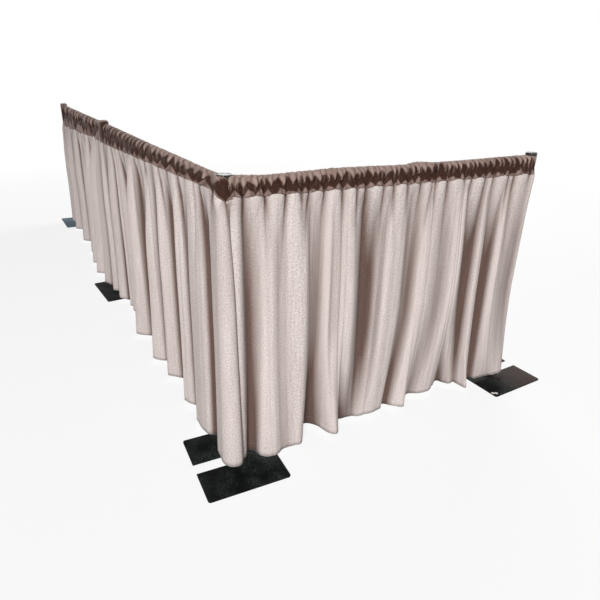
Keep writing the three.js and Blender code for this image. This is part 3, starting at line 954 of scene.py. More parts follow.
@dataclass(frozen=True)
class Gathers:
    """Where the cloth is drawn in along its seam, and the small folds between those points."""

    pinches: tuple[float, ...]
    span: float
    seed: int
    fine_pitch: float = 25 * MM
    widest: float = 110 * MM
    valley_depth: float = 23 * MM
    valley_reach: float = 190 * MM
    valley_width: float = 5 * MM
    valley_spread: float = 0.12
    fan_depth: float = 7 * MM
    fan_foot: float = 5 * MM
    fan_width: float = 2.6 * MM
    fan_spread: float = 0.07
    usual_width: float = 90 * MM
    same_place: float = 1 * MM

    def lines(self) -> np.ndarray:
        """Places of all pinches in metres, with wide stretches between two of them shared out.

        Returns:
            Rising distances along the wall.
        """
        draw = np.random.default_rng(self.seed)
        places = [self.pinches[0]]
        for place in self.pinches[1:]:
            gap = (place - places[-1]) * self.span
            parts = max(1, int(math.ceil(gap / self.widest)))
            start = places[-1]
            for part in range(1, parts):
                wander = draw.uniform(-0.22, 0.22)
                places.append(start + (place - start) * (part + wander) / parts)
            places.append(place)
        return np.array(places) * self.span

    def strengths(self) -> np.ndarray:
        """How hard the cloth is drawn in at each pinch, the photographed ones hardest.

        Returns:
            One share for each pinch.
        """
        draw = np.random.default_rng(self.seed + Draw.STRENGTHS)
        lines = self.lines()
        main = np.array(self.pinches) * self.span
        nearest = np.abs(lines[:, None] - main[None, :]).min(axis=1)
        weak = draw.uniform(0.1, 0.4, len(lines))
        strong = draw.uniform(0.75, 1.0, len(lines))
        return np.where(nearest < self.same_place, strong, weak)

    def valleys(self) -> Creases:
        """The main crease below each pinch."""
        draw = np.random.default_rng(self.seed + Draw.VALLEYS)
        lines = self.lines()
        slopes = draw.uniform(-0.13, 0.13, len(lines))
        depths = self.valley_depth * self.strengths()
        reaches = self.valley_reach * draw.uniform(0.4, 1.5, len(lines))
        return Creases(lines, slopes, depths, reaches, self.valley_width, self.valley_spread)

    def shadows(self) -> Creases:
        """Painted shade below each pinch: how far the cloth is darkened there."""
        main = self.valleys()
        return Creases(main.starts, main.slopes, 0.9 * self.strengths(), 0.42 * main.reaches,
                       0.9 * self.valley_width, 0.8 * self.valley_spread)

    def fans(self, each: int, steepest: float, reach: float, depth: float, seed: int) -> Creases:
        """Fine creases that spread from each pinch.

        Args:
            each: Creases for each pinch.
            steepest: Largest sideways step for each step away from the seam.
            reach: Mean length over which they fade.
            depth: Depth at the seam.
            seed: Seed of their unevenness.

        Returns:
            The creases.
        """
        draw = np.random.default_rng(self.seed + seed)
        lines = np.repeat(self.lines(), each)
        sides = np.tile(np.linspace(-1, 1, each), len(lines) // each)
        slopes = steepest * (sides + draw.uniform(-0.35, 0.35, len(lines)))
        depths = depth * np.repeat(self.strengths(), each) * draw.uniform(0.5, 1.1, len(lines))
        reaches = reach * draw.uniform(0.6, 1.4, len(lines))
        starts = lines + self.fan_foot * sides
        return Creases(starts, slopes, depths, reaches, self.fan_width, self.fan_spread)

    def phase(self, along: np.ndarray) -> tuple[np.ndarray, np.ndarray, np.ndarray]:
        """Place between two pinches.

        Args:
            along: Distances along the wall.

        Returns:
            The share of the way to the next pinch, the width of that stretch, and how hard
            the nearer pinch is drawn in.
        """
        lines = self.lines()
        strengths = self.strengths()
        index = np.clip(np.searchsorted(lines, along, side="right") - 1, 0, len(lines) - 2)
        width = lines[index + 1] - lines[index]
        share = np.clip((along - lines[index]) / width, 0, 1)
        blend = eased(share, 0.25, 0.75)
        return share, width, strengths[index] * (1 - blend) + strengths[index + 1] * blend

    def bulge(self, along: np.ndarray, power: float) -> np.ndarray:
        """How far the cloth stands out between pinches, 0 at a hard pinch.

        Args:
            along: Distances along the wall.
            power: Sharpness: low gives narrow valleys and broad bulges.

        Returns:
            Shares, wide stretches standing out furthest.
        """
        share, width, drawn = self.phase(along)
        arch = np.power(np.clip(np.sin(math.pi * share), 0, 1), power)
        height = np.clip(width / self.usual_width, 0.35, 1.25)
        return 1 - drawn * (1 - arch * height)

    def fine(self, along: np.ndarray, pitch: float, seed: int) -> np.ndarray:
        """Small irregular folds of about one pitch, with sharp valleys.

        Args:
            along: Distances along the wall.
            pitch: Mean distance between folds.
            seed: Seed of their unevenness.

        Returns:
            Heights from -1 to 1.
        """
        draw = np.random.default_rng(self.seed + seed)
        reach = max(self.span, 0.1) + 1.0
        knots = np.linspace(-0.5, reach, int((reach + 0.5) / pitch))
        drift = np.interp(along, knots, draw.uniform(-0.42, 0.42, len(knots)))
        size = np.interp(along, knots, draw.uniform(0.35, 1.0, len(knots)))
        angle = math.pi * (along / pitch + drift)
        return size * (2 * np.abs(np.sin(angle)) ** 0.75 - 1)


@dataclass(frozen=True)
class Mouth:
    """One end of a rod pocket, where the cloth passes in front of a post.

    The front runs on to its edge. The top and back stop short of the post. The front either covers
    the cap, or stops at a rim in front of it.
    """

    front: float
    back: float
    post: float | None
    out: float = 32 * MM
    rim: float = 1221 * MM
    covers: bool = False
    tucked: bool = False
    opens_from: float = 35
    opens_to: float = 75
    clear_half: float = 30 * MM
    fade_half: float = 78 * MM
    covered_turn: float = 45
    rises_over: float = 50
    folds_from: float = 35
    folds_to: float = 95
    fold_in: float = 22 * MM
    fold_up: float = 2 * MM
    blunt: float = 1 * MM

    def turns(self) -> tuple[float, float]:
        """Angles round the bar, in degrees, between which the mouth runs from front to back."""
        late = self.covered_turn if self.covers else 0
        return self.opens_from + late, self.opens_to + late

    def nearness(self, along: np.ndarray) -> np.ndarray:
        """One in front of the post, falling to zero beside it."""
        if self.post is None:
            return np.zeros(np.shape(along))
        return 1 - eased(np.abs(along - self.post), self.clear_half, self.fade_half)

    def shift(self, along: np.ndarray, degrees: float) -> np.ndarray:
        """How far the cloth is pushed back from the post at an angle round the bar.

        Args:
            along: Distances along the wall, from the front's edge.
            degrees: Angle round the bar.

        Returns:
            Distances along the wall.
        """
        low, high = self.turns()
        most = self.back - self.front
        pushed = float(eased(np.array(degrees), low, high)) * most
        return pushed * np.exp(-np.abs(along - self.front) / (3.2 * abs(most) + self.blunt))

    def flap(self, degrees: float, bar: float) -> tuple[float, float]:
        """Where the front lies before the post, at an angle round the bar.

        Args:
            degrees: Angle round the bar.
            bar: Height of the pocket's middle.

        Returns:
            Distance outwards and height.
        """
        height = bar + (self.rim - bar) * min(degrees / self.rises_over, 1.0)
        if not self.covers:
            return self.out, height
        fold = float(eased(np.array(degrees), self.folds_from, self.folds_to))
        return self.out - fold * (self.out + self.fold_in), height + self.fold_up * fold


@dataclass(frozen=True)
class Fades:
    """Distances over which each kind of fold comes in or dies away.

    The tuck dies away along the cloth from the panel's first edge, all others downwards from the
    seam, and the pocket's fans upwards.
    """

    swell: float = 260 * MM
    ripples: float = 160 * MM
    streaks: float = 70 * MM
    valleys: float = 25 * MM
    hiding: float = 25 * MM
    tuck: float = 18 * MM
    behind: float = 14 * MM
    fans: float = 6 * MM
    pocket_fans: float = 4 * MM


@dataclass(frozen=True)
class PanelFolds:
    """Measures of the folds that all four panels share.

    Each row of ripples has its pitch, its depth and its seed.
    """

    line_samples: int = 14
    least_forward: float = 0.15
    middle_share: float = 0.7
    dense_share: float = 1.3
    dense_reach: float = 9 * MM
    bulge_power: float = 0.6
    swell_share: float = 0.7
    seam_valley_share: float = 0.35
    fan_slope: float = 0.42
    fan_reach: float = 80 * MM
    ripples: tuple[tuple[float, float, int], ...] = (
        (74 * MM, 3 * MM, Draw.RIPPLES), (31 * MM, 0.8 * MM, Draw.SMALL_RIPPLES),
    )
    ripple_fade_share: float = 0.85
    tucked_share: float = 0.9
    seam_cover: float = 1 * MM
    streak_spread: float = 0.02
    # Painted light of cloth that lies level with its neighbours, below the full light of a ridge.
    flat_painted_light: float = 0.77


@dataclass(frozen=True)
class PocketSection:
    """Measures of the pocket round the bar that all four pockets share."""

    slack: float = 4.5 * MM
    sag: float = 8.5 * MM
    bar_gap: float = 1.7 * MM
    above_seam: float = 0.6 * MM
    front_gap: float = 3 * MM
    back_gap: float = 2.5 * MM
    arc_degrees: float = 235.0
    front_ripple: float = 3 * MM
    fine_ripple: float = 1.5 * MM
    broad_ripple: float = 1.2 * MM
    back_ripple: float = 2 * MM
    flap_out_ripple: float = 1.2 * MM
    flap_up_ripple: float = 1.5 * MM
    broad_pitch_share: float = 2.1
    drawn_share: float = 0.4
    fan_slope: float = 0.6
    fan_reach_share: float = 0.42
    fan_depth: float = 5 * MM
    flat_reach: float = 80 * MM
    fullness: float = 1.6


@dataclass(frozen=True)
class RibbonShape:
    """Shares that shape the header's zigzag hollow.

    Pitches are shares of the widest tent, heights are shares of the pocket's height. The band's edges, the
    glints and the pleats' darkening set the painted light: painted shade in the band and between pleats,
    painted highlights on the brightest pleats.
    """

    lean_pitch: float = 0.7
    tall_pitch: float = 1.3
    spike_pitch: float = 0.55
    pleat_pitch: float = 0.42
    tent_lean: float = 0.35
    spikes: float = 0.32
    roll_lean: float = 0.05
    tent_foot: float = 0.06
    sunk: float = 0.02
    narrowest: float = 0.12
    # Edges of the band of painted shade, at its foot and at the roll.
    foot_edges: tuple[float, float] = (0.03, 0.05)
    roll_edges: tuple[float, float] = (0.05, 0.04)
    softness: float = 1.2
    glint: float = 0.45
    glint_from: float = 0.75
    pleat_dark: float = 0.2


@dataclass
class Curtain:
    """One panel with its rod pocket: the fold lines, the gathers, the seam between them and the sheets."""

    name: str
    wall: Wall
    bodies: tuple[str, str]
    blend_from: tuple[float, float, float]
    blend_to: tuple[float, float, float]
    fold_shares: tuple[tuple[float, ...], ...]
    gathers: Gathers
    pocket_depths: tuple[float, float]
    mouths: tuple[Mouth, Mouth]
    top_shares: tuple[float, float] | None = None
    top_waves: tuple[tuple[float, float], ...] = ((0.0, 0.0), (1.0, 0.0))
    seam_dip: tuple[float, float] = (0.0, 0.0)
    seam_dip_over: float = 40 * MM
    bar_height: float = 1190 * MM
    bar_radius: float = 19.05 * MM
    cloth_top: float = 1215 * MM
    hem: float = 20 * MM
    fold_depth: float = 100 * MM
    top_out: float = 33 * MM
    column_spacing: float = 4.6 * MM
    panel_rows: int = 76
    pocket_spacing: float = 3.1 * MM
    front_rows: int = 34
    arc_rows: int = 22
    back_rows: int = 6
    thickness: float = 1 * MM
    pinch_in: float = 5 * MM
    bulge_out: float = 11 * MM
    scallop: float = 10 * MM
    lap: float = 4 * MM
    behind: float = 6 * MM
    # Painted shade in the panel's fold valleys: columns on each side for the mean, and the fold depth that
    # darkens fully.
    nap_window: int = 28
    nap_depth: float = 29 * MM
    hollow_share: float = 0.13
    tent_tall: float = 0.4
    # Painted light of the pocket's tents, as a share of the lit roll.
    tent_lit: float = 0.75
    roll_height: float = 25 * MM
    roll_out: float = 10 * MM
    tent_widest: float = 62 * MM
    streak_shares: tuple[tuple[float, ...], ...] = ((0.0, 0.0, 0.0, 1.0),)
    streak_width: float = 20 * MM
    top_tuck: float = 0.0
    flat_end: float | None = None
    hem_height: float = 40 * MM
    hem_stitches_proud: float = 0.6 * MM
    seam_stitches_proud: float = 1 * MM
    sharp_angle: float = math.radians(150)
    fades: Fades = Fades()
    folds: PanelFolds = PanelFolds()
    section: PocketSection = PocketSection()
    ribbon_shape: RibbonShape = RibbonShape()

    def seam_height(self, along: np.ndarray) -> np.ndarray:
        """Height of the seam between pocket and panel: lowest at each pinch."""
        share = np.clip(along / self.wall.span, 0, 1)
        straight = self.cloth_top - (self.pocket_depths[0] * (1 - share) + self.pocket_depths[1] * share)
        place, drop = self.seam_dip
        dip = drop * eased(along, place - self.seam_dip_over, place) if drop else 0.0
        return straight + self.scallop * self.gathers.bulge(along, 0.8) - dip

    def seam_out(self, along: np.ndarray) -> np.ndarray:
        """Distance outwards of the seam: drawn in at each pinch, and clear of the posts."""
        bulge = self.gathers.bulge(along, self.folds.bulge_power)
        swell = (self.pinch_in + self.bulge_out) * self.folds.swell_share * bulge
        drawn = self.folds.seam_valley_share * self.gathers.valleys().depth(along, np.zeros(len(along)))
        out = self.top_out - self.pinch_in + swell - drawn
        return self.clear_of_posts(along, out)

    def clear_of_posts(self, along: np.ndarray, out: np.ndarray) -> np.ndarray:
        """Keeps the cloth in front of the posts at its ends."""
        for mouth in self.mouths:
            near = mouth.nearness(along)
            cleared = mouth.out if mouth.tucked else np.maximum(out, mouth.out)
            out = out * (1 - near) + cleared * near
        return out

    def fold_lines(self) -> tuple[np.ndarray, np.ndarray, np.ndarray, np.ndarray]:
        """The fold lines at the hem, half way up and at the seam, evenly spaced along the cloth.

        Returns:
            Points at the hem, points half way up, distance along the wall at the seam, and
            distance along the flat cloth.
        """
        rows = np.array(self.fold_shares)
        scale = (self.wall.span, self.fold_depth)
        hem = smooth_line(rows[:, :2] * scale, self.folds.line_samples)
        top = hem[:, 0]
        if rows.shape[1] > 2:
            middle = smooth_line(rows[:, 2:] * scale, self.folds.line_samples)
            top = middle[:, 0]
        steps = np.linalg.norm(np.diff(hem, axis=0), axis=1)
        flat = np.concatenate([[0], np.cumsum(steps)])
        if self.wall.turns_at < math.inf:
            past = hem[:, 0] > self.wall.span
            turn = np.arctan2(hem[:, 0] - self.wall.span, hem[:, 1])
            top = np.where(past, self.wall.span + self.wall.turn_radius * turn, top)
        forward = np.maximum(np.diff(top), self.folds.least_forward * steps)
        forward = np.concatenate([[0], np.cumsum(forward)])
        ends = (top[0], top[-1])
        if self.top_shares is not None:
            ends = tuple(end * self.wall.span for end in self.top_shares)
        top = ends[0] + forward / forward[-1] * (ends[1] - ends[0])
        hem_points = self.wall.plain(hem[:, 0], hem[:, 1], self.hem)
        if rows.shape[1] > 2:
            middle_points = self.wall.plain(middle[:, 0], middle[:, 1], self.hem)
        else:
            top_points = self.wall.points(top, np.full(len(top), self.top_out), self.hem)
            share = self.folds.middle_share
            middle_points = top_points * (1 - share) + hem_points * share
        lines = self.gathers.lines()
        nearest = np.abs(top[:, None] - lines[None, :]).min(axis=1)
        dense = 1 + self.folds.dense_share * np.exp(-nearest / self.folds.dense_reach)
        weight = np.concatenate([[0], np.cumsum(steps * (dense[1:] + dense[:-1]) / 2)])
        count = int(round(flat[-1] / self.column_spacing))
        wanted = np.linspace(0, weight[-1], count)
        stacked = np.column_stack([hem_points, middle_points, top, flat])
        even = np.stack([np.interp(wanted, weight, column) for column in stacked.T], axis=1)
        return even[:, :3], even[:, 3:6], even[:, 6], even[:, 7]

    def panel_grid(self) -> tuple[np.ndarray, np.ndarray, np.ndarray]:
        """Builds the panel's points.

        Returns:
            Points by row, from hem to just above the seam, their flat cloth coordinates and
            the painted light: painted shade in fold valleys and below each pinch.
        """
        hem, middle, top, flat = self.fold_lines()
        seam = self.seam_height(top) + self.lap
        outward = self.wall.outward_at(top)
        folds, fades = self.folds, self.fades
        valleys = self.gathers.valleys()
        fans = self.gathers.fans(3, folds.fan_slope, folds.fan_reach, self.gathers.fan_depth,
                                 Draw.PANEL_FANS)
        bulge = self.gathers.bulge(top, folds.bulge_power)
        posts = self.clear_of_posts(top, np.zeros(len(top))) / Mouth.out
        rippled = sum(self.gathers.fine(flat, pitch, seed) * depth for pitch, depth, seed in folds.ripples)
        rippled = rippled * np.clip(1.6 * np.gradient(top) / np.gradient(flat), 0.1, 1)
        unswollen = np.ones(len(top))
        for mouth in self.mouths:
            if mouth.tucked:
                unswollen = unswollen * (1 - folds.tucked_share * mouth.nearness(top))
        streaks = self.streaks()
        shadows = self.gathers.shadows()
        tucked = self.top_tuck * np.exp(-(top - top[0]) / fades.tuck)
        swollen = (self.pinch_in + self.bulge_out) * folds.swell_share * bulge
        grid, places, painted_lights = [], [], []
        for share in 1 - (1 - np.linspace(0, 1, self.panel_rows)) ** 1.5:
            from_hem = max(0.0, 1 - 2 * share) ** 1.5
            from_top = max(0.0, 2 * share - 1) ** 2
            height = self.hem + (seam - self.hem) * share
            below = (seam - self.hem) * (1 - share)
            out = self.clear_of_posts(top, np.full(len(top), self.top_out - self.pinch_in))
            line = self.wall.points(top, out, height) * from_top
            line = line + hem * from_hem + middle * (1 - from_hem - from_top)
            line[:, 2] = height
            swell = swollen * np.exp(-below / fades.swell)
            drawn = valleys.depth(top, below) + fans.depth(top, below) * grown(below, fades.fans)
            drawn = drawn + streaks.depth(top, below) * grown(below, fades.streaks)
            at_seam = folds.seam_valley_share
            drawn = drawn * (at_seam + (1 - at_seam) * grown(below, fades.valleys))
            soft = rippled * (1 - folds.ripple_fade_share * np.exp(-below / fades.ripples))
            offset = swell + soft - drawn
            offset = np.where(offset < 0, offset * (1 - np.clip(posts, 0, 1)), offset) * unswollen
            offset = offset - tucked - self.behind * np.exp(-below / fades.behind)
            row = line + outward * offset[:, None]
            base = self.wall.points(top, np.zeros(len(top)), height)
            reach = ((row - base) * outward).sum(axis=1)
            hidden = 1 - eased(below, self.lap, self.lap + fades.hiding)
            limit = self.seam_out(top) + folds.seam_cover - 2 * np.maximum(0, self.lap - below)
            row = row + outward * (hidden * np.minimum(0, limit - reach))[:, None]
            # Painted shade: darker deep in the folds and below each pinch.
            fold_light = self.painted_fold_light(reach)
            painted_lights.append(np.clip(fold_light - shadows.depth(top, below), 0, 1))
            grid.append(row)
            places.append(np.stack([flat, height], axis=1))
        return np.array(grid), np.array(places), np.array(painted_lights)

    def streaks(self) -> Creases:
        """The long deep folds that run far down from the seam."""
        table = np.array(self.streak_shares)
        return Creases(table[:, 0] * self.wall.span, table[:, 1], table[:, 2] * self.fold_depth,
                       table[:, 3] * self.cloth_top, self.streak_width, self.folds.streak_spread)

    def painted_fold_light(self, out: np.ndarray) -> np.ndarray:
        """Painted shade along a row by fold depth: 0 fully shaded deep in a fold, 1 unshaded on a ridge.

        Args:
            out: Distances outwards along the row.

        Returns:
            One share for each point.
        """
        half = self.nap_window
        padded = np.pad(out, half, mode="edge")
        mean = np.convolve(padded, np.ones(2 * half + 1) / (2 * half + 1), mode="valid")
        return np.clip(self.folds.flat_painted_light + (out - mean) / self.nap_depth, 0, 1)

    def sheet_object(self, name: str, grid: np.ndarray, places: np.ndarray, painted_lights: np.ndarray,
                     sides: tuple[bpy.types.Material, bpy.types.Material],
                     closed: bool) -> bpy.types.Object:
        """Makes a sheet from a grid of points, with flat cloth coordinates as its UV map.

        Args:
            name: Name of the piece.
            grid: Points by row and column.
            places: Flat cloth coordinates by row and column.
            painted_lights: Painted light by row and column: painted shade in folds, painted highlights on
                the satin.
            sides: Finishes of the front and the back.
            closed: Whether the last row joins the first.

        Returns:
            The sheet, with its thickness as a modifier.
        """
        rows, columns = grid.shape[:2]
        last = rows if closed else rows - 1
        number = np.arange(rows * columns).reshape(rows, columns)
        faces = []
        for row in range(last):
            here, above = number[row], number[(row + 1) % rows]
            faces += [(here[i], here[i + 1], above[i + 1], above[i]) for i in range(columns - 1)]
        mesh = bpy.data.meshes.new(name)
        mesh.from_pydata(grid.reshape(-1, 3).tolist(), [], faces)
        mesh.update()
        flat = places.reshape(-1, 2)
        corners = np.zeros(len(mesh.loops), dtype=np.int32)
        mesh.loops.foreach_get("vertex_index", corners)
        layer = mesh.uv_layers.new(name="cloth")
        layer.data.foreach_set("uv", flat[corners].astype(np.float32).ravel())
        nap = mesh.attributes.new(PAINTED_LIGHT, "FLOAT", "POINT")
        nap.data.foreach_set("value", painted_lights.astype(np.float32).ravel())
        piece = shown(name, mesh, sides[0])
        mesh.materials.append(sides[1])
        mesh.set_sharp_from_angle(angle=self.sharp_angle)
        wall = piece.modifiers.new("cloth", "SOLIDIFY")
        wall.thickness = self.thickness
        wall.offset = 0
        wall.material_offset = 1
        return piece

    def pocket_front(self, cloth: np.ndarray, radius: float, middle: float) -> list[tuple]:
        """Rows of the pocket's front, from the seam up to the middle of the bar.

        Args:
            cloth: Distances along the gathered cloth.
            radius: Radius of the pocket round the bar.
            middle: Height of the pocket's middle.

        Returns:
            Distance along, distance outwards and height of each row.
        """
        section = self.section
        share, width, _ = self.gathers.phase(cloth)
        drawn = np.sin(2 * math.pi * share) * width / (2 * math.pi) * section.drawn_share
        depth = float(np.mean(self.pocket_depths))
        fans = self.gathers.fans(4, section.fan_slope, section.fan_reach_share * depth,
                                 section.fan_depth, Draw.POCKET_FANS)
        fine = self.gathers.fine(cloth, self.gathers.fine_pitch, Draw.FINE)
        flat = 1.0
        if self.flat_end is not None:
            flat = eased(np.abs(cloth - self.flat_end), 0, section.flat_reach)
        rows = []
        for row in range(self.front_rows):
            t = row / (self.front_rows - 1)
            along = cloth - drawn * (1 - t) ** 1.5
            seam = self.seam_height(along) + section.above_seam
            height = seam + (middle - seam) * t
            start = self.seam_out(along) + section.front_gap
            roll = start + (radius + self.roll_out * flat - start) * t
            hollow, _ = self.ribbon(cloth, (height - seam) / (middle + radius - seam))
            above = height - seam
            folds = fans.depth(along, above) * grown(above, self.fades.pocket_fans)
            out = roll - self.hollow_share * depth * hollow * flat - folds * (1 - 0.5 * t)
            out = out + section.front_ripple * fine * t**1.5
            rows.append((along, *self.clear_of_bar(self.clear_of_posts(along, out), height)))
        return rows

    def clear_of_bar(self, out: np.ndarray, height: np.ndarray) -> tuple[np.ndarray, np.ndarray]:
        """Keeps the pocket outside the bar.

        Args:
            out: Distances outwards.
            height: Heights.

        Returns:
            Distances outwards and heights.
        """
        reach = np.hypot(out, height - self.bar_height)
        push = np.maximum(1, (self.bar_radius + self.section.bar_gap) / np.maximum(reach, 1 * MM))
        return out * push, self.bar_height + (height - self.bar_height) * push

    def ribbon(self, cloth: np.ndarray, share: np.ndarray) -> tuple[np.ndarray, np.ndarray]:
        """The zigzag hollow between the roll on the bar and the tents that stand on the seam, with the
        pocket's painted light.

        Args:
            cloth: Distances along the gathered cloth.
            share: Share of the pocket's height above the seam.

        Returns:
            How deep the hollow is, 0 to 1, and the painted light: painted shade in the hollow's band and
            between pleats, painted glints on pleats, the roll and tents painted lighter.
        """
        shape, widest = self.ribbon_shape, self.tent_widest
        tents = replace(self.gathers, widest=widest)
        place, width, _ = tents.phase(cloth)
        lean = tents.fine(cloth, shape.lean_pitch * widest, Draw.LEAN)
        peak = np.clip(1 - np.abs(2 * place - 1 + shape.tent_lean * lean), 0, 1)
        tall = 0.5 + 0.5 * tents.fine(cloth, shape.tall_pitch * widest, Draw.TENTS)
        tall = self.tent_tall * tall * np.clip(width / (shape.lean_pitch * widest), 0.4, 1)
        low = (shape.tent_foot + tall) * peak - shape.sunk
        spikes = tents.fine(cloth, shape.spike_pitch * widest, Draw.SPIKES)
        depth = self.cloth_top - self.seam_height(cloth)
        high = 1 - self.roll_height / depth + shape.spikes * spikes + shape.roll_lean * lean
        high = np.maximum(high, low + shape.narrowest)
        centre, half = (low + high) / 2, (high - low) / 2
        hollow = np.exp(-(((share - centre) / (shape.softness * half)) ** 2))
        # Painted shade: the band between the tents' feet and the roll is darkened.
        dark = eased(share, low - shape.foot_edges[0], low + shape.foot_edges[1])
        dark = dark * (1 - eased(share, high - shape.roll_edges[0], high + shape.roll_edges[1]))
        # Painted highlights: glints on the brightest pleats inside the band.
        pleat = 0.5 + 0.5 * tents.fine(cloth, shape.pleat_pitch * widest, Draw.PLEATS)
        glint = shape.glint * eased(pleat, shape.glint_from, 1.0) * eased(share, low, high)
        # Painted light: the roll fully lit, the tents a share less, and the pleats darker between their
        # crests.
        lit = self.tent_lit + (1 - self.tent_lit) * eased(share, low, high)
        nap = (1 - dark) * lit * (shape.pleat_dark + (1 - shape.pleat_dark) * pleat) + dark * glint
        return hollow, np.clip(nap, 0, 1)

    def pocket_grid(self) -> tuple[np.ndarray, np.ndarray, np.ndarray]:
        """Builds the rod pocket's points: up the front, over the bar, and down the back.

        Returns:
            Points by row around the pocket, their flat cloth coordinates and the painted light: painted
            shade in the hollow, painted highlights on roll, tents and pleats.
        """
        first, last = self.mouths
        section = self.section
        count = int(round((last.front - first.front) / self.pocket_spacing)) + 1
        cloth = np.linspace(first.front, last.front, count)
        radius = self.bar_radius + section.slack
        middle = self.bar_height - self.bar_radius + radius - section.sag
        waves = np.interp(cloth / self.wall.span, *np.array(self.top_waves).T)
        fine = self.gathers.fine(cloth, self.gathers.fine_pitch, Draw.FINE)
        broad_pitch = self.gathers.fine_pitch * section.broad_pitch_share
        broad = self.gathers.fine(cloth, broad_pitch, Draw.BROAD)
        rows = self.pocket_front(cloth, radius, middle)
        brow = rows[-1][1]
        for row in range(1, self.arc_rows + 1):
            degrees = section.arc_degrees * row / self.arc_rows
            turn = math.radians(degrees)
            plain = radius + section.fine_ripple * fine + section.broad_ripple * broad * math.cos(turn / 3)
            ripple = plain + (brow - plain) * max(0.0, math.cos(turn)) ** 1.6
            along = cloth + first.shift(cloth, degrees) + last.shift(cloth, degrees)
            out = ripple * math.cos(turn)
            height = middle + ripple * math.sin(turn) + waves * max(0.0, math.sin(turn))
            for mouth in self.mouths:
                low, high = mouth.turns()
                near = mouth.nearness(along) * (1 - eased(np.array(degrees), low, high))
                flap_out, flap_height = mouth.flap(degrees, middle)
                out = out * (1 - near) + (flap_out + section.flap_out_ripple * fine) * near
                height = height * (1 - near) + (flap_height + section.flap_up_ripple * fine) * near
            rows.append((along, *self.clear_of_bar(out, height)))
        last_along, last_out, last_height = rows[-1]
        for row in range(1, self.back_rows + 1):
            t = row / (self.back_rows + 1)
            seam_along = rows[0][0]
            along = last_along * (1 - t) + seam_along * t
            seam_z = self.seam_height(seam_along) + section.above_seam
            out = last_out + (self.seam_out(seam_along) - section.back_gap - last_out) * t
            height = last_height + (seam_z - last_height) * t
            rows.append((along, out + section.back_ripple * broad * (1 - t), height))
        made, places, painted_lights = [], [], []
        around = 0.0
        seam = self.seam_height(cloth)
        for index, (along, out, height) in enumerate(rows):
            if index:
                before = rows[index - 1]
                around += float(np.mean(np.hypot(out - before[1], height - before[2])))
            made.append(self.wall.points(along, out, height))
            places.append(np.stack([cloth * section.fullness, np.full(count, around)], axis=1))
            painted_lights.append(self.ribbon(cloth, (height - seam) / (middle + radius - seam))[1])
        return np.array(made), np.array(places), np.array(painted_lights)

    def declare(self, piece: bpy.types.Object, node: str) -> None:
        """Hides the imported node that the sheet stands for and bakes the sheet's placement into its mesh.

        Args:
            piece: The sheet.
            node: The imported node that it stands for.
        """
        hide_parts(node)
        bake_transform(piece)

    def build(self, drape: tuple[bpy.types.Material, bpy.types.Material],
              satin: tuple[bpy.types.Material, bpy.types.Material], stitching: "Stitching") -> None:
        """Builds the panel, the pocket and their stitching.

        Args:
            drape: Finishes of the panel's front and back.
            satin: Finishes of the pocket's outside and inside.
            stitching: Maker of stitch rows.
        """
        grid, places, painted_lights = self.panel_grid()
        panel = self.sheet_object(f"{self.name}_drape", grid, places, painted_lights, drape, closed=False)
        hem_row = self.stitch_path(grid, places, self.hem_height + self.hem)
        hem_stitches = stitching.row(f"{self.name}_hem_stitches", hem_row, drape[0])
        pocket_grid, pocket_places, pocket_painted_lights = self.pocket_grid()
        pocket = self.sheet_object(f"{self.name}_header", pocket_grid, pocket_places, pocket_painted_lights, satin,
                                   closed=True)
        outward = self.wall.outward_at(self.pocket_front_along(pocket_grid))
        seam_row = pocket_grid[2] + outward * self.seam_stitches_proud
        seam_stitches = stitching.row(f"{self.name}_seam_stitches", seam_row, satin[0])
        for stitches, slot in ((hem_stitches, Slot.DRAPE), (seam_stitches, Slot.SATIN)):
            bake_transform(stitches)
        self.declare(panel, f"{self.name}_panel")
        self.declare(pocket, f"{self.name}_rod_pocket")

    def pocket_front_along(self, grid: np.ndarray) -> np.ndarray:
        """Distances along the wall of the pocket's columns."""
        first, last = self.mouths
        return np.linspace(first.front, last.front, grid.shape[1])

    def stitch_path(self, grid: np.ndarray, places: np.ndarray, height: float) -> np.ndarray:
        """Line across the panel at a height, just proud of the cloth.

        Args:
            grid: Points of the panel.
            places: Flat cloth coordinates of the panel.
            height: The height wanted.

        Returns:
            Points along the line.
        """
        heights = places[:, :, 1].mean(axis=1)
        upper = int(np.searchsorted(heights, height))
        share = (height - heights[upper - 1]) / (heights[upper] - heights[upper - 1])
        line = grid[upper - 1] * (1 - share) + grid[upper] * share
        step = np.gradient(line, axis=0)
        facing = np.stack([step[:, 1], -step[:, 0], np.zeros(len(line))], axis=1)
        facing /= np.linalg.norm(facing, axis=1, keepdims=True)
        return line + facing * self.hem_stitches_proud


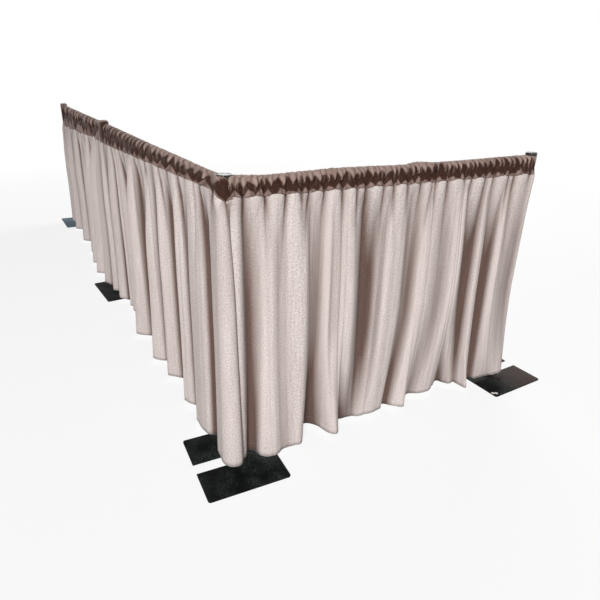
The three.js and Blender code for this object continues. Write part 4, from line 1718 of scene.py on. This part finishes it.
class Stitching:
    """Rows of stitches that Geometry Nodes set along a line."""

    pitch: float = 5.5 * MM
    length: float = 3.6 * MM
    thread: float = 0.35 * MM
    thread_sides: int = 5

    def __init__(self) -> None:
        """Builds the node tree that every row uses."""
        self.tree = bpy.data.node_groups.new("stitch_row", "GeometryNodeTree")
        face = self.tree.interface
        face.new_socket("Geometry", in_out="INPUT", socket_type="NodeSocketGeometry")
        for name in ("Stitch Pitch", "Stitch Length", "Thread Radius"):
            face.new_socket(name, in_out="INPUT", socket_type="NodeSocketFloat")
        face.new_socket("Thread", in_out="INPUT", socket_type="NodeSocketMaterial")
        face.new_socket("Geometry", in_out="OUTPUT", socket_type="NodeSocketGeometry")
        nodes = self.tree.nodes
        enter = nodes.new("NodeGroupInput")
        leave = nodes.new("NodeGroupOutput")
        line = nodes.new("GeometryNodeMeshToCurve")
        spaced = nodes.new("GeometryNodeResampleCurve")
        spaced.mode = "LENGTH"
        points = nodes.new("GeometryNodeInstanceOnPoints")
        aligned = nodes.new("FunctionNodeAlignEulerToVector")
        aligned.axis = "Z"
        tangent = nodes.new("GeometryNodeInputTangent")
        stitch = nodes.new("GeometryNodeMeshCylinder")
        stitch.inputs["Vertices"].default_value = self.thread_sides
        real = nodes.new("GeometryNodeRealizeInstances")
        dyed = nodes.new("GeometryNodeSetMaterial")
        for source, output, target, socket in (
            (enter, "Geometry", line, "Mesh"),
            (line, "Curve", spaced, "Curve"),
            (enter, "Stitch Pitch", spaced, "Length"),
            (spaced, "Curve", points, "Points"),
            (tangent, "Tangent", aligned, "Vector"),
            (aligned, "Rotation", points, "Rotation"),
            (enter, "Stitch Length", stitch, "Depth"),
            (enter, "Thread Radius", stitch, "Radius"),
            (stitch, "Mesh", points, "Instance"),
            (points, "Instances", real, "Geometry"),
            (real, "Geometry", dyed, "Geometry"),
            (enter, "Thread", dyed, "Material"),
            (dyed, "Geometry", leave, "Geometry"),
        ):
            self.tree.links.new(source.outputs[output], target.inputs[socket])

    def row(self, name: str, line: np.ndarray, thread: bpy.types.Material) -> bpy.types.Object:
        """Sets one row of stitches along a line.

        Args:
            name: Name of the piece.
            line: Points of the line.
            thread: Finish of the thread.

        Returns:
            The row as a plain mesh.
        """
        mesh = bpy.data.meshes.new(name)
        mesh.from_pydata(line.tolist(), [(i, i + 1) for i in range(len(line) - 1)], [])
        row = bpy.data.objects.new(name, mesh)
        bpy.context.scene.collection.objects.link(row)
        setter = row.modifiers.new("stitches", "NODES")
        setter.node_group = self.tree
        sizes = {"Stitch Pitch": self.pitch, "Stitch Length": self.length,
                 "Thread Radius": self.thread, "Thread": thread}
        for item in self.tree.interface.items_tree:
            if item.in_out == "INPUT" and item.name in sizes:
                setter[item.identifier] = sizes[item.name]
        made_plain(row)
        # The stitches take a half share of painted light, between shaded and unshaded cloth.
        nap = row.data.attributes.new(PAINTED_LIGHT, "FLOAT", "POINT")
        nap.data.foreach_set("value", [0.5] * len(row.data.vertices))
        return row


@dataclass
class Cloth:
    """All four curtains, with the fold lines traced at the hem."""

    corner: Vector
    left_span: float
    right_span: float

    def left_wall(self, far_end: float, turns_at: float = math.inf) -> Wall:
        """The left wall from one of its posts, measured towards the corner."""
        return Wall((self.corner.x, far_end), (0.0, -1.0), (-1.0, 0.0), self.left_span, turns_at)

    def right_wall(self) -> Wall:
        """The right wall from the corner."""
        return Wall((self.corner.x, self.corner.y), (1.0, 0.0), (0.0, -1.0), self.right_span)

    def curtains(self) -> list[Curtain]:
        """The four curtains in order from the far left.

        Returns:
            The curtains, not yet built.
        """
        bar = Curtain.bar_height
        beside = 33 * MM
        wrap = -26 * MM
        left = self.left_span
        right = self.right_span
        middle = (self.corner.x, self.corner.y + left, bar)
        far = (self.corner.x, self.corner.y + 2 * left, bar)
        corner = (self.corner.x, self.corner.y, bar)
        end = (self.corner.x + right, self.corner.y, bar)
        seam = 0.6015 * right
        gap = 2 * MM
        covered = 1226 * MM
        return [
            Curtain(
                "left_far", self.left_wall(far[1]), ("middle_post", "left_post"), middle, far,
                LEFT_FAR_FOLD_SHARES,
                Gathers((-0.03, 0.1, 0.22, 0.41, 0.55, 0.715, 0.885, 1.03), left, 11, fine_pitch=80 * MM,
                        widest=230 * MM, valley_depth=44 * MM, valley_reach=380 * MM,
                        valley_width=10 * MM, valley_spread=0.15, fan_depth=11 * MM),
                (225 * MM, 142 * MM),
                (Mouth(wrap, beside, 0.0, rim=covered, covers=True),
                 Mouth(left + 12 * MM, left - beside, left, rim=covered, covers=True)),
                top_shares=(-0.012, 0.999), scallop=26 * MM, tent_widest=330 * MM,
                tent_tall=0.62, tent_lit=0.7, nap_depth=15 * MM, streak_shares=LEFT_FAR_STREAK_SHARES,
                top_waves=((0.0, 8 * MM), (0.03, 6 * MM), (0.07, 1 * MM), (0.5, 1 * MM), (1.0, 4 * MM))),
            Curtain(
                "left_near", self.left_wall(middle[1], left), ("corner_post", "middle_post"),
                corner, middle, LEFT_NEAR_FOLD_SHARES,
                Gathers((-0.02, 0.14, 0.255, 0.43, 0.47, 0.54, 0.656, 0.718, 0.791, 0.834, 0.882, 0.914,
                         0.985, 1.018, 1.05), left, 23, fine_pitch=50 * MM, widest=170 * MM,
                        valley_depth=36 * MM, valley_reach=330 * MM, valley_width=8 * MM,
                        valley_spread=0.14, fan_depth=9 * MM),
                (142 * MM, 58 * MM),
                (Mouth(wrap, beside, 0.0, out=35.5 * MM, rim=covered + 3 * MM, covers=True),
                 Mouth(left + 66 * MM, left - beside, left, out=34.5 * MM, rim=1225 * MM)),
                seam_dip=(left + 20 * MM, 24 * MM), scallop=14 * MM, tent_widest=170 * MM,
                roll_height=17 * MM, tent_tall=0.42, tent_lit=0.65, nap_depth=15 * MM,
                streak_shares=LEFT_NEAR_STREAK_SHARES,
                top_waves=((0.0, 4 * MM), (0.5, 1 * MM), (0.93, 2 * MM), (1.0, 4 * MM))),
            Curtain(
                "right_first", self.right_wall(), ("corner_post", "right_post"), corner, end,
                RIGHT_FIRST_FOLD_SHARES,
                Gathers((-0.04, 0.036, 0.089, 0.144, 0.185, 0.206, 0.248, 0.3, 0.345, 0.373, 0.43, 0.461,
                         0.509, 0.552, 0.594, 0.62), right, 37),
                (74 * MM, 94 * MM),
                (Mouth(1 * MM, beside, 0.0, out=30.5 * MM, rim=1223.5 * MM, tucked=True,
                       clear_half=16 * MM, fade_half=62 * MM),
                 Mouth(seam - gap, seam - gap, None)),
                streak_shares=RIGHT_FIRST_STREAK_SHARES,
                top_waves=((0.0, 9 * MM), (0.05, 4 * MM), (0.09, 0.0), (0.28, 7 * MM), (0.38, 5 * MM),
                           (0.51, -1 * MM), (0.535, 8 * MM), (0.57, 6 * MM), (0.6, 1 * MM))),
            Curtain(
                "right_second", self.right_wall(), ("corner_post", "right_post"), corner, end,
                RIGHT_SECOND_FOLD_SHARES,
                Gathers((0.58, 0.605, 0.65, 0.714, 0.743, 0.799, 0.832, 0.897, 0.921, 0.985, 1.03),
                        right, 41),
                (74 * MM, 94 * MM),
                (Mouth(seam + gap, seam + gap, None),
                 Mouth(right + 2 * MM, right - beside, right, out=31.5 * MM, rim=1209 * MM,
                       fade_half=66 * MM)),
                top_tuck=6 * MM, flat_end=right, top_shares=(0.593, 1.004),
                streak_shares=RIGHT_SECOND_STREAK_SHARES,
                top_waves=((0.6, 1 * MM), (0.64, -4 * MM), (0.7, 0.0), (0.95, 3 * MM), (1.0, 2 * MM))),
        ]


# Long folds: share of the span along the wall, slope, share of the fold depth, share of the height.
LEFT_FAR_STREAK_SHARES = (
    (0.1, 0.02, 0.22, 0.5), (0.41, 0.03, 0.3, 0.7), (0.565, 0.02, 0.4, 0.9), (0.735, 0.04, 0.6, 1.3),
    (0.79, 0.03, 0.3, 0.9), (0.905, 0.02, 0.3, 0.7),
)
LEFT_NEAR_STREAK_SHARES = (
    (0.15, 0.04, 0.45, 1.2), (0.185, 0.03, 0.3, 0.9), (0.4, 0.05, 0.3, 0.5), (0.5, 0.02, 0.3, 0.8),
    (0.56, 0.03, 0.36, 1.0), (0.69, 0.01, 0.24, 0.8), (0.8, -0.01, 0.2, 0.6), (0.94, 0.0, 0.16, 0.8),
)
RIGHT_FIRST_STREAK_SHARES = (
    (0.04, 0.0, 0.14, 0.8), (0.212, 0.02, 0.26, 1.1), (0.375, 0.02, 0.34, 1.2), (0.452, 0.0, 0.12, 0.8),
    (0.53, 0.03, 0.2, 0.9),
)
RIGHT_SECOND_STREAK_SHARES = (
    (0.735, 0.14, 0.24, 1.2), (0.84, 0.06, 0.26, 0.9), (0.92, 0.05, 0.15, 0.5),
)
# Fold lines at the hem: share of the span along the wall, share of the fold depth outwards.
# The right wall's rows go on with the same two shares half way up.
LEFT_FAR_FOLD_SHARES = (
    (-0.027, 0.8), (0, 0.86), (0.032, 0.6), (0.06, 0.05), (0.092, 0.1), (0.124, 0.6), (0.156, 1),
    (0.183, 0.5), (0.215, 0), (0.247, 0.08), (0.284, 0.5), (0.33, 0.7), (0.371, 0.95), (0.403, 0.4),
    (0.435, -0.05), (0.476, 0.1), (0.517, 0.6), (0.559, 0.88), (0.595, 0.3), (0.627, -0.1),
    (0.659, 0.4), (0.694, 1.2), (0.723, 0.6), (0.755, 0.2), (0.787, 0.8), (0.817, 1.38),
    (0.847, 0.7), (0.874, 0.1), (0.9, 0.5), (0.925, 1.18), (0.957, 0.95), (0.984, 0.6), (0.999, 0.66),
)
LEFT_NEAR_FOLD_SHARES = (
    (-0.001, 0.8), (0.023, 0.86), (0.05, 0.3), (0.073, 0.25), (0.098, 0.78), (0.124, 0.4),
    (0.151, 0.15), (0.175, 0.58), (0.201, 0.3), (0.222, 0.48), (0.256, 0), (0.293, -0.2),
    (0.33, 0.1), (0.362, 0.7), (0.386, 1.06), (0.412, 0.5), (0.439, -0.15), (0.476, -0.15),
    (0.508, 0.3), (0.53, 0.8), (0.549, 0.95), (0.572, 0.6), (0.595, -0.05), (0.618, 0.1),
    (0.645, 0.68), (0.664, 0.4), (0.687, -0.05), (0.723, -0.1), (0.751, 0.3), (0.771, 0.62),
    (0.797, 0.4), (0.822, 0.05), (0.851, 0.58), (0.877, 0.62), (0.911, 0.56), (0.929, 0.2),
    (0.952, 0.18), (0.968, 0.52), (0.991, 0.57), (1.012, 0.6), (1.027, 0.44), (1.033, 0.18),
    (1.033, -0.04), (1.029, -0.15),
)
RIGHT_FIRST_FOLD_SHARES = (
    (-0.005, 0.3, -0.005, 0.34), (0.016, 0.4, 0.018, 0.42), (0.028, 0.3, 0.034, 0.24),
    (0.041, 0.04, 0.048, 0.12), (0.053, 0.1, 0.06, 0.19), (0.065, 0.6, 0.075, 0.34),
    (0.095, 0.84, 0.095, 0.49), (0.137, 0.6, 0.13, 0.46), (0.162, 0.64, 0.15, 0.52),
    (0.184, 0.72, 0.192, 0.66), (0.202, 0.4, 0.213, 0.44), (0.217, -0.3, 0.234, 0.18),
    (0.244, -0.45, 0.248, 0.14), (0.267, -0.1, 0.254, 0.34), (0.281, 0.6, 0.263, 0.48),
    (0.297, 0.88, 0.279, 0.44), (0.317, 0.6, 0.298, 0.52), (0.337, -0.05, 0.324, 0.63),
    (0.356, 0, 0.341, 0.66), (0.375, 0.08, 0.364, 0.44), (0.391, 0.18, 0.393, 0.2),
    (0.406, 0.26, 0.414, 0.12), (0.422, 0.28, 0.431, 0.34), (0.438, 0.3, 0.451, 0.29),
    (0.457, 0.3, 0.465, 0.37), (0.492, 0.2, 0.508, 0.33), (0.511, -0.04, 0.54, 0.2),
    (0.533, 0.3, 0.559, 0.16), (0.562, 0.64, 0.573, 0.4), (0.585, 0.3, 0.587, 0.54),
    (0.6, 0.05, 0.599, 0.56),
)
RIGHT_SECOND_FOLD_SHARES = (
    (0.592, -0.06, 0.593, 0.46), (0.605, -0.1, 0.607, 0.48), (0.625, -0.18, 0.625, 0.48),
    (0.66, 0.04, 0.662, 0.4),
    (0.695, 0.12, 0.687, 0.6), (0.73, -0.15, 0.7, 0.68), (0.768, -0.45, 0.714, 0.7),
    (0.779, -0.15, 0.728, 0.6), (0.79, 0.1, 0.746, 0.4), (0.803, 0.1, 0.777, 0.14),
    (0.813, 0.08, 0.795, 0.08), (0.818, 0.5, 0.802, 0.2), (0.825, 0.93, 0.808, 0.54),
    (0.848, 0.6, 0.825, 0.47), (0.874, 0.15, 0.854, 0.26), (0.889, 0.3, 0.876, 0.18),
    (0.895, 0.45, 0.879, 0.46), (0.94, 0.5, 0.889, 0.66), (0.965, 0.56, 0.914, 0.56),
    (0.991, 0.62, 0.949, 0.44), (1.016, 0.58, 0.978, 0.38), (1.024, 0.5, 0.988, 0.5),
)


# The right plate: width that stays clean of dust, and its worn chips, painted near white as a highlight on
# bare metal, as X, Y and radius.
RIGHT_PLATE_CLEAN = 100 * MM
RIGHT_PLATE_CHIPS_AND_GLINTS = ((1425 * MM, -185 * MM, 11 * MM), (1410 * MM, -176 * MM, 10 * MM))


@dataclass(frozen=True)
class Viewpoint:
    """Where the photograph was taken from."""

    place: tuple[float, float, float] = (-0.6526, -1.6688, 1.5353)
    yaw: float = 60.047
    pitch: float = 23.574
    roll: float = 1.383
    lens: float = 30.79
    sensor: float = 36.0

    def build(self) -> None:
        """Makes the camera and uses it."""
        yaw, pitch, roll = (math.radians(angle) for angle in (self.yaw, self.pitch, self.roll))
        level_share = math.cos(pitch)
        ahead = Vector((math.cos(yaw) * level_share, math.sin(yaw) * level_share, -math.sin(pitch)))
        level = Vector((math.sin(yaw), -math.cos(yaw), 0))
        above = level.cross(ahead)
        right = level * math.cos(roll) + above * math.sin(roll)
        up = above * math.cos(roll) - level * math.sin(roll)
        data = bpy.data.cameras.new("camera")
        data.lens = self.lens
        data.sensor_width = self.sensor
        camera = bpy.data.objects.new("camera", data)
        turn = Matrix((right, up, -ahead)).transposed().to_4x4()
        camera.matrix_world = Matrix.Translation(self.place) @ turn
        bpy.context.scene.collection.objects.link(camera)
        bpy.context.scene.camera = camera


@dataclass(frozen=True)
class SoftBox:
    """A large soft lamp."""

    name: str
    place: tuple[float, float, float]
    aim: tuple[float, float, float]
    size: float
    power: float

    def build(self) -> None:
        """Makes the lamp."""
        data = bpy.data.lights.new(self.name, "AREA")
        data.size = self.size
        data.energy = self.power
        lamp = bpy.data.objects.new(self.name, data)
        lamp.location = self.place
        lamp.rotation_mode = "QUATERNION"
        lamp.rotation_quaternion = (Vector(self.aim) - Vector(self.place)).to_track_quat("-Z", "Y")
        bpy.context.scene.collection.objects.link(lamp)


@dataclass(frozen=True)
class Studio:
    """Plain white floor and surroundings with soft lamps."""

    surroundings: tuple[float, float, float, float] = WHITE
    floor_half: float = 40.0
    floor_tone: float = 0.3
    ambient: float = 0.12
    centre: tuple[float, float, float] = (0.7, 1.5, 0.0)
    shadow_reach: float = 3.0
    white_reach: float = 7.0
    near_share: float = 0.8
    lamps: tuple[SoftBox, ...] = (
        SoftBox("key_lamp", (-6.9, -9.5, 7.3), (0.5, 0.8, 0.6), 2.9, 1680.0),
        SoftBox("front_lamp", (0.2, -6.5, 4.4), (0.6, 0.2, 0.6), 4.0, 30.0),
        SoftBox("back_lamp", (5.0, 5.0, 4.6), (0.4, 1.0, 0.6), 4.0, 260.0),
    )

    def floor_material(self) -> bpy.types.Material:
        """Builds the floor: white to camera, glossy and transmission rays, grey to the light it bounces.

        Returns:
            The material.
        """
        shader = Shader("floor_white")
        path = shader.add("ShaderNodeLightPath")
        seen = shader.math("MAXIMUM", path.outputs["Is Camera Ray"], path.outputs["Is Glossy Ray"])
        seen = shader.math("MAXIMUM", seen, path.outputs["Is Transmission Ray"])
        tone = (self.floor_tone,) * 3 + (1.0,)
        shader.colour(shader.mix(seen, tone, WHITE))
        shader.set(Roughness=0.9, Specular_IOR_Level=0.1)
        place = shader.coordinates("Object")
        away = shader.add("ShaderNodeVectorMath", {0: place, 1: self.centre}, operation="DISTANCE")
        share = shader.add("ShaderNodeMapRange", {
            "Value": away.outputs["Value"], "From Min": self.shadow_reach, "From Max": self.white_reach,
            "To Min": self.near_share, "To Max": 1.0}).outputs["Result"]
        white = shader.add("ShaderNodeEmission", {"Color": WHITE, "Strength": 1.0})
        blend = shader.add("ShaderNodeMixShader", {
            0: shader.math("MULTIPLY", seen, share), 1: shader.surface.outputs[0], 2: white.outputs[0]})
        shader.links.new(blend.outputs[0], shader.nodes["Material Output"].inputs["Surface"])
        return shader.material

    def build(self) -> None:
        """Makes the floor, the surroundings and the lamps."""
        half = self.floor_half
        corners = [(-half, -half, 0), (half, -half, 0), (half, half, 0), (-half, half, 0)]
        floor = mesh_object("floor", corners, [(0, 1, 2, 3)], self.floor_material())
        world = bpy.data.worlds.new("surroundings")
        bpy.context.scene.world = world
        world.use_nodes = True
        nodes, links = world.node_tree.nodes, world.node_tree.links
        back = nodes["Background"]
        back.inputs["Color"].default_value = self.surroundings
        path = nodes.new("ShaderNodeLightPath")
        seen = path.outputs["Is Camera Ray"]
        for other in ("Is Glossy Ray", "Is Transmission Ray"):
            either = nodes.new("ShaderNodeMath")
            either.operation = "MAXIMUM"
            links.new(seen, either.inputs[0])
            links.new(path.outputs[other], either.inputs[1])
            seen = either.outputs[0]
        strength = nodes.new("ShaderNodeMapRange")
        strength.inputs["To Min"].default_value = self.ambient
        strength.inputs["To Max"].default_value = 1.0
        links.new(seen, strength.inputs["Value"])
        links.new(strength.outputs["Result"], back.inputs["Strength"])
        for lamp in self.lamps:
            lamp.build()
        bpy.context.scene.view_settings.view_transform = "Standard"


def write_sizes() -> None:
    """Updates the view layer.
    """
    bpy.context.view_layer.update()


def main() -> None:
    """Builds the dressed backdrop."""
    logging.basicConfig(level=logging.INFO, format="%(message)s")
    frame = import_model()
    Viewpoint().build()
    Studio().build()

    upright = DrawnAluminium("post_aluminium_drawn").build()
    cap = MouldedPlastic("cap_black_gloss", (12, 12, 13), 0.12, 0.24).build()
    # Pale face for the corner cap alone: a painted reflection of the bright surroundings on its flat top.
    reflection_face = MouldedPlastic("cap_face_painted_reflection", (226, 226, 224), 0.2, 0.32).build()
    posts = {name: Post(name, f"{name}_post") for name in ("corner", "right", "middle", "left")}
    for post in posts.values():
        post.tube(upright)
        post.cap(cap, reflection_face if post.name == "corner" else cap)
        LOG.info("%s post: tube and cap", post.name)

    bars = (
        TelescopingBar("right_bar", "X", "corner_post", "right_post"),
        TelescopingBar("left_near_bar", "Y", "corner_post", "middle_post"),
        TelescopingBar("left_far_bar", "Y", "middle_post", "left_post"),
    )
    grains = {"X": (6.0, 900.0, 900.0), "Y": (900.0, 6.0, 900.0)}
    drawn = {axis: DrawnAluminium(f"bar_aluminium_{axis}", grain).build()
             for axis, grain in grains.items()}
    plug = MouldedPlastic("plug_black", (26, 27, 29), 0.35, 0.55).build()
    bush = MouldedPlastic("bush_white", (214, 214, 208), 0.35, 0.5).build()
    rivet = PlatedSteel("rivet_zinc").build()
    dressing = RigidDressing(frame)
    for bar in bars:
        bar.build(drawn[bar.axis])
        for part, body, finish, slot, bevel in (
            ("fixed_hook", bar.outer_body, plug, Slot.PLUG, 0.5 * MM),
            ("sliding_hook", bar.inner_body, plug, Slot.PLUG, 0.5 * MM),
            ("guide_bush", bar.outer_body, bush, Slot.BUSH, 0.3 * MM),
            ("fixed_rivet", bar.outer_body, rivet, Slot.RIVET, 0.15 * MM),
            ("sliding_rivet", bar.inner_body, rivet, Slot.RIVET, 0.15 * MM),
        ):
            dressing.dress(f"{bar.name}_{part}", body, finish, bevel)
        LOG.info("%s: tubes, plugs, bush and rivets", bar.name)

    plate_low, plate_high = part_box("right_base_plate")
    paints = {
        "corner": PlatePaint("plate_paint_corner"),
        "right": PlatePaint("plate_paint_right", dusty_from=plate_low.x + RIGHT_PLATE_CLEAN,
                            dusty_to=plate_high.x, chips_and_glints=RIGHT_PLATE_CHIPS_AND_GLINTS),
        "middle": PlatePaint("plate_paint_middle"),
        # Left plate: the blue grey is a painted reflection of the sky on the black coat.
        "left": PlatePaint("plate_left_painted_sky_reflection", paint=(96, 114, 128), speck=(120, 136, 148)),
    }
    spigot = PlatedSteel("spigot_turned", (128, 129, 131)).build()
    for name, paint in paints.items():
        dressing.dress(f"{name}_base_plate", f"{name}_base", paint.build(), 0.9 * MM)
        dressing.dress(f"{name}_spigot", f"{name}_base", spigot, 0.3 * MM)
        LOG.info("%s base: plate and spigot", name)

    corner = posts["corner"].centre
    cloth = Cloth(Vector((corner.x, corner.y, 0)), posts["middle"].centre.y - corner.y,
                  posts["right"].centre.x - corner.x)
    # The back of the panels gets a weaker painted shade in its folds.
    drape = (DrapeCloth().build(), DrapeCloth("drape_cloth_back", painted_fold_shade=(196, 184, 178)).build())
    satin = (SatinCloth().build(), SatinCloth("header_satin_back", light=(132, 110, 102)).build())
    stitching = Stitching()
    for curtain in cloth.curtains():
        curtain.build(drape, satin, stitching)
        LOG.info("%s: panel, pocket and stitching", curtain.name)
    write_sizes()


if __name__ == "__main__":
    main()
